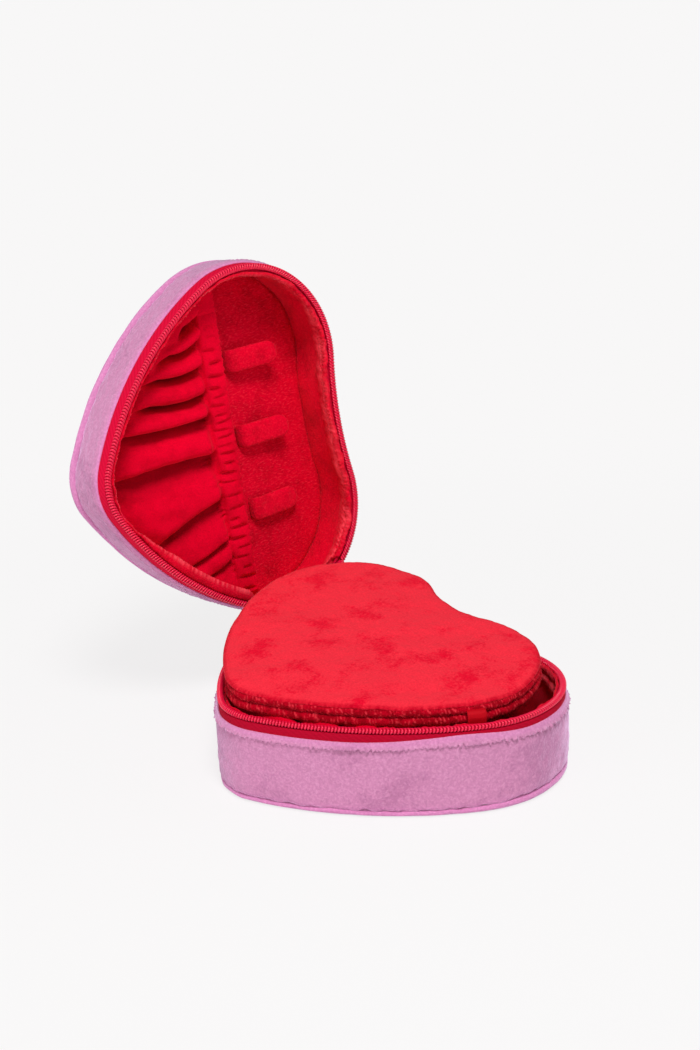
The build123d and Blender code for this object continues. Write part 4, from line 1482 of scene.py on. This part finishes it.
def pocket_height(x, y, share):
    """Height of the gathered sheet above the lining, and the share of painted shade deep in its folds.

    share runs from the wall (0) to the casing (1).
    """
    casing_x = settings().pocket.mouth_x - settings().pocket.casing
    roof = pocket_roof(x, y)
    shape = roof * (0.12 + 0.88 * ease(share, 0, 0.3)) * (1 - 0.45 * ease(share, 0.92, 1))
    depth = np.zeros_like(x)
    fades, lines = [], []
    for start_y, end_x, end_y, bow, _ in FOLDS:
        run = np.clip((casing_x - x) / (casing_x - end_x * MM), 0, 1.6)
        lines.append((start_y + (end_y - start_y) * run + bow * np.sin(math.pi * np.clip(run, 0, 1))) * MM)
        fades.append(1 - ease(run, 0.95, 1.6))
    for index in range(len(FOLDS) - 1):
        span = lines[index + 1] - lines[index]
        place = (y - lines[index]) / span
        inside = (place >= 0) & (place < 1)
        place = np.clip(place, 0, 1)
        peak = FOLDS[index][4]
        slow = 1 + 3 * max(0, peak - 0.6)
        climb = np.sin(math.pi / 2 * np.clip(place / peak, 0, 1) ** slow) ** 0.8
        drop = np.sqrt(1 - np.clip((place - peak) / (1 - peak), 0, 1) ** 3.5)
        ridge = np.where(place < peak, climb, drop)
        fade = fades[index] * (1 - place) + fades[index + 1] * place
        depth = np.where(inside, fade * (1 - ridge), depth)
    height = shape * (1 - 0.92 * depth)
    # Painted shade: the share of the darker fold colour deep in each valley
    painted_fold_shade = ease(depth, 0.35, 0.95) * ease(share, 0.02, 0.2)
    flat = np.stack((x, y), axis=-1)
    gathers = np.abs(np.sin(math.pi * gather_phase(x, y))) ** 0.8 - 0.6
    ripple = gathers * (1 + 0.6 * lumps(flat, 9 * MM, 402))
    height = height + ripple * 0.6 * MM * ease(share, 0.8, 1) + 0.2 * MM * lumps(flat, 11 * MM, 403)
    return np.maximum(height, 0.5 * MM), painted_fold_shade


def casing_creases():
    """Creases of the casing along Y: place, middle and half length across the band, slant and depth."""
    rng = np.random.default_rng(410)
    spread = ((0.36, 0.6), (0.2, 0.4), (-0.6, 1.6), (1.0, 2.3))
    creases = []
    place = -56.0
    while place < 60:
        place += rng.uniform(0.75, 1.25) * (3.4 + 1.3 * float(ease(abs(place + 12), 8, 26)))
        creases.append((place, *(rng.uniform(low, high) for low, high in spread)))
    return creases


def casing_height(x, y):
    """Height of the gathered casing above the lining: uneven pillows with a crease between each two."""
    pocket = settings().pocket
    across = (x - pocket.mouth_x + pocket.casing) / pocket.casing
    body = np.maximum(pocket_roof(x, y) * 0.56, 1.5 * MM)
    loose = ease(-y, 25 * MM, 50 * MM)
    pinch = np.zeros_like(x)
    for place, middle, half, slant, depth in casing_creases():
        gap = y / MM - place - slant * (across - middle)
        reach = np.where(gap < 0, 0.65, 1.9)
        pinch = np.maximum(pinch, depth * np.exp(-np.abs(gap) / reach - ((across - middle) / half) ** 4))
    pillow = 1.1 * np.sqrt(np.clip(np.sin(math.pi * np.clip(across, 0, 1)), 0, 1))
    stitch = 0.4 * np.exp(-(((across - 0.04) / 0.04) ** 2))
    return body + (pillow - pinch * (1 - 0.5 * loose) - stitch) * MM


class HEARTBOX_OT_pocket(bpy.types.Operator):
    """Gathered pocket in the lid, with its elastic casing"""

    bl_idname = "heartbox.pocket"
    bl_label = "Pocket"

    def execute(self, context):
        outline = box_outline()
        pocket = settings().pocket
        casing_x = pocket.mouth_x - pocket.casing
        inset = 3.6 * MM
        end_y = float(outline.half_width(np.array([casing_x]), inset)[0]) - 0.4 * MM
        y_casing = np.linspace(-end_y, end_y, 420)
        fan = np.array([-end_y / MM, -44, -22, 2.6, 20.8, 37.2, 45.4, end_y / MM]) * MM
        fan_end = np.array([-end_y / MM, -43, -24, 1.0, 33, 47, 54, end_y / MM]) * MM
        y_wall = np.interp(y_casing, fan, fan_end)
        places = np.linspace(-TIP_END + inset, casing_x, 400)
        x_wall = np.interp(np.abs(y_wall), outline.half_width(places, inset), places)
        share = np.linspace(0, 1, 72)
        x_sheet = x_wall[:, None] + (casing_x - x_wall)[:, None] * share
        y_sheet = y_wall[:, None] + (y_casing - y_wall)[:, None] * share
        h_sheet, painted_fold_shade = pocket_height(x_sheet, y_sheet, share[None, :])
        across = np.linspace(0, 1, 31)[1:]
        x_band, y_band = np.broadcast_arrays(casing_x + pocket.casing * across, y_casing[:, None])
        h_band = casing_height(x_band, y_band)
        waver = 0.2 * MM * lumps(y_band.reshape(-1, 1), 3 * MM, 404).reshape(y_band.shape)
        x_band = x_band + waver * ease(across, 0.6, 1)
        join = ease(across, 0, 0.12)
        h_band = h_sheet[:, -1:] * (1 - join) + h_band * join
        x = np.concatenate((x_sheet, x_band), axis=1)
        y = np.concatenate((y_sheet, y_band), axis=1)
        h = np.concatenate((h_sheet, h_band), axis=1)
        cloth = 0.8 * MM
        under = np.maximum(h[:, ::-1] - cloth, 0.15 * MM)
        floor = FLOOR_BUILD - LID_DEPTH
        top = np.stack((x, y, floor + h), axis=-1)
        low = np.stack((x[:, ::-1], y[:, ::-1], floor + under), axis=-1)
        grid = np.concatenate((top, low), axis=1)
        piece = loop_piece(
            "gathered_pocket", on_lid(grid), MATERIALS["red_velour"], closed=False, body="lid",
            nodes=["pocket_sheet", "pocket_casing", "pocket_elastic"], slot="red_plush",
        )
        # Painted shade deep in the pocket's folds
        deep = np.zeros(grid.shape[:2])
        deep[:, : len(share)] = 0.6 * painted_fold_shade
        store_fold_and_painted_light(piece, grid.shape[:2], deep)
        return {"FINISHED"}


# Necklace tabs


# How much higher each tab's free end lies than its root, and the height of the root above the lining, in mm
TAB_LEVELS = {1: (3.0, 3.95), 2: (2.0, 3.95), 3: (-0.5, 3.45)}
# Tip, half width, half thickness, and how far from the tip the width and the thickness start to close, in mm
TAB_TIP, TAB_HALF, TAB_THICK = 20.9, 4.5, 1.2
TAB_ROUND, TAB_TAPER = 4.2, 1.3


def rounded_end(left, least):
    """Share of the full size towards a round end, with what is left to the end from 0 to 1."""
    return np.sqrt(np.clip(1 - (1 - np.clip(left, 0, 1)) ** 2, least, 1))


def build_tab(number, middle_y):
    """Padded strap that rises from the lining, with a round free end."""
    floor = FLOOR_BUILD - LID_DEPTH
    rise, level = TAB_LEVELS[number]
    line = np.array([
        (0.4, 0.0), (0.2, 1.4), (0.7, 2.8), (2.2, level - 0.25), (5.0, level), (10.0, level + 0.2 * rise),
        (15.0, level + 0.55 * rise), (18.5, level + 0.85 * rise), (20.7, level + rise),
    ])
    arc = path_lengths(line)
    share = 1 - (1 - np.linspace(0, 1, 56)) ** 1.6
    run = points_at(share * arc[-1], arc, line)
    padded = np.pad(run, ((2, 2), (0, 0)), mode="edge")
    run = np.stack([np.convolve(padded[:, k], np.ones(5) / 5, "valid") for k in (0, 1)], axis=1)
    ahead = unit(np.gradient(run, axis=0))
    up = np.stack((-ahead[:, 1], ahead[:, 0]), axis=1)
    width = TAB_HALF * rounded_end((TAB_TIP - run[:, 0]) / TAB_ROUND, 0.004)
    thick = TAB_THICK * rounded_end((TAB_TIP - run[:, 0]) / TAB_TAPER, 0.02)
    angle = np.linspace(0, 2 * math.pi, 28, endpoint=False)
    cos, sin = np.cos(angle), np.sin(angle)
    across = width[:, None] * (np.sign(cos) * np.abs(cos) ** 0.5)
    swell = thick[:, None] * (np.sign(sin) * np.abs(sin) ** 0.7)
    x = run[:, :1] + up[:, :1] * swell
    h = run[:, 1:] + up[:, 1:] * swell
    grid = np.stack((x * MM, middle_y + across * MM, floor + h * MM), axis=-1)
    grid[..., 2] += 0.1 * lumps(grid, 6 * MM, 500 + number) * MM
    piece = loop_piece(
        f"tab_strap_{number}", on_lid(grid), MATERIALS["red_fleece"],
        closed=False, nodes=[f"necklace_tab_{number}"], slot="red_plush",
    )
    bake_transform(piece)


class HEARTBOX_OT_tabs(bpy.types.Operator):
    """Necklace tabs with their press studs"""

    bl_idname = "heartbox.tabs"
    bl_label = "Necklace tabs"

    def execute(self, context):
        pitch = settings().pocket.tab_pitch
        for number in (1, 2, 3):
            build_tab(number, (number - 2) * pitch)
            dress_node(f"tab_snap_socket_{number}", "snap")
        dress_node("tab_snap_studs", "snap")
        return {"FINISHED"}


# Stage


# Pale background of floor and world
BACKDROP = full(linear("F8F7F7"))


def stage_material():
    """Pale floor that shows as an even background and keeps a faint shadow."""
    material = bpy.data.materials.new("pale_floor")
    material.use_nodes = True
    tree = material.node_tree
    tree.nodes.clear()
    diffuse = add_node(tree, "ShaderNodeBsdfDiffuse", {"Color": BACKDROP})
    glow = add_node(tree, "ShaderNodeEmission", {"Color": BACKDROP, "Strength": 1.0})
    paths = add_node(tree, "ShaderNodeLightPath").outputs
    seen = paths["Is Camera Ray"]
    for ray in ("Is Glossy Ray", "Is Transmission Ray"):
        either = add_node(tree, "ShaderNodeMath", links={0: seen, 1: paths[ray]}, operation="MAXIMUM")
        seen = either.outputs[0]
    place = add_node(tree, "ShaderNodeTexCoord").outputs["Object"]
    far = add_node(tree, "ShaderNodeVectorMath", links={0: place}, operation="LENGTH")
    plain = add_node(
        tree, "ShaderNodeMapRange", {"From Min": 0.1, "From Max": 0.45, "To Min": 0.86, "To Max": 1.0},
        {"Value": far.outputs["Value"]}, interpolation_type="SMOOTHSTEP",
    )
    part = add_node(
        tree, "ShaderNodeMath", links={0: seen, 1: plain.outputs["Result"]}, operation="MULTIPLY"
    )
    mixed = add_node(
        tree, "ShaderNodeMixShader", links={0: part.outputs[0], 1: diffuse.outputs[0], 2: glow.outputs[0]}
    )
    add_node(tree, "ShaderNodeOutputMaterial", links={"Surface": mixed.outputs[0]})
    return material


# Each lamp's name, place and goal, its width in metres and its power in watts
LAMPS = (
    ("key_lamp", (-0.36, -0.77, 1.47), (0, 0.02, 0.05), 0.55, 22),
    ("fill_lamp", (-1.25, -0.1, 0.12), (0, 0.02, 0.08), 0.9, 7),
    ("side_lamp", (1.1, -0.7, 0.35), (0, 0.02, 0.05), 0.8, 2.6),
)


def add_lamp(name, place, goal, size, power):
    """Soft area lamp that points at the box."""
    lamp = bpy.data.lights.new(name, "AREA")
    lamp.shape = "DISK"
    lamp.size = size
    lamp.energy = power
    holder = bpy.data.objects.new(name, lamp)
    holder.location = place
    holder.rotation_euler = (Vector(goal) - Vector(place)).to_track_quat("-Z", "Y").to_euler()
    bpy.context.scene.collection.objects.link(holder)


def add_camera():
    """Camera at the photograph's viewing angle."""
    view = settings().view
    azimuth, elevation, roll = (math.radians(value) for value in (view.azimuth, view.elevation, view.roll))
    level = math.cos(elevation)
    back = Vector((math.sin(azimuth) * level, -math.cos(azimuth) * level, math.sin(elevation)))
    right = Vector((math.cos(azimuth), math.sin(azimuth), 0))
    up = back.cross(right)
    tilted_right = right * math.cos(roll) + up * math.sin(roll)
    tilted_up = up * math.cos(roll) - right * math.sin(roll)
    data = bpy.data.cameras.new("photo_camera")
    data.lens = view.lens
    data.sensor_width = 36
    data.shift_x = view.shift_x
    data.shift_y = view.shift_y
    data.clip_start = 0.01
    camera = bpy.data.objects.new("photo_camera", data)
    turn = Matrix((tilted_right, tilted_up, back)).transposed().to_4x4()
    camera.matrix_world = Matrix.Translation(Vector(view.place)) @ turn
    bpy.context.scene.collection.objects.link(camera)
    bpy.context.scene.camera = camera


def light_world():
    """Even white surroundings: soft light on the box, pale background for the camera."""
    world = bpy.data.worlds.new("studio")
    bpy.context.scene.world = world
    world.use_nodes = True
    tree = world.node_tree
    tree.nodes.clear()
    paths = add_node(tree, "ShaderNodeLightPath")
    soft = add_node(tree, "ShaderNodeBackground", {"Color": (1, 1, 1, 1), "Strength": 0.28})
    seen = add_node(tree, "ShaderNodeBackground", {"Color": BACKDROP, "Strength": 1.0})
    mixed = add_node(
        tree, "ShaderNodeMixShader",
        links={0: paths.outputs["Is Camera Ray"], 1: soft.outputs[0], 2: seen.outputs[0]},
    )
    add_node(tree, "ShaderNodeOutputWorld", links={"Surface": mixed.outputs[0]})


class HEARTBOX_OT_stage(bpy.types.Operator):
    """Pale floor, soft studio light and the camera"""

    bl_idname = "heartbox.stage"
    bl_label = "Stage"

    def execute(self, context):
        reach = 20.0
        corners = [(-reach, -reach, 0), (reach, -reach, 0), (reach, reach, 0), (-reach, reach, 0)]
        floor = new_piece("studio_floor", corners, [(0, 1, 2, 3)], stage_material())
        light_world()
        for lamp in LAMPS:
            add_lamp(*lamp)
        add_camera()
        context.scene.view_settings.view_transform = "Standard"
        return {"FINISHED"}


class HEARTBOX_PT_panel(bpy.types.Panel):
    """Sidebar panel that lists the box's pieces"""

    bl_label = "Heart Box"
    bl_idname = "HEARTBOX_PT_panel"
    bl_space_type = "VIEW_3D"
    bl_region_type = "UI"
    bl_category = "Heart Box"

    def draw(self, context):
        for operator in OPERATORS:
            self.layout.operator(operator.bl_idname)
        for group in ("heart", "zip", "flap", "ribbon", "pocket", "colours", "view"):
            box = self.layout.box()
            box.label(text=group.capitalize())
            values = getattr(context.scene.heart_box, group)
            for name in values.__annotations__:
                box.prop(values, name)


OPERATORS = (
    HEARTBOX_OT_stage,
    HEARTBOX_OT_covers,
    HEARTBOX_OT_linings,
    HEARTBOX_OT_zip,
    HEARTBOX_OT_hinge_cloth,
    HEARTBOX_OT_compartments,
    HEARTBOX_OT_flap,
    HEARTBOX_OT_flap_strip,
    HEARTBOX_OT_pocket,
    HEARTBOX_OT_tabs,
)
GROUPS = (
    HeartOutlineSizes,
    ZipSizes,
    FlapSizes,
    RibbonSizes,
    PocketSizes,
    BoxColours,
    ViewSettings,
    HeartBoxSettings,
)


def register():
    """Register the settings, operators and panel."""
    for part in GROUPS + OPERATORS + (HEARTBOX_PT_panel,):
        bpy.utils.register_class(part)
    bpy.types.Scene.heart_box = PointerProperty(type=HeartBoxSettings)


def unregister():
    """Take the settings, operators and panel away again."""
    del bpy.types.Scene.heart_box
    for part in reversed(GROUPS + OPERATORS + (HEARTBOX_PT_panel,)):
        bpy.utils.unregister_class(part)


def main():
    """Build the whole box."""
    register()
    make_materials()
    for operator in OPERATORS:
        group, name = operator.bl_idname.split(".")
        getattr(getattr(bpy.ops, group), name)()


if __name__ == "__main__":
    main()
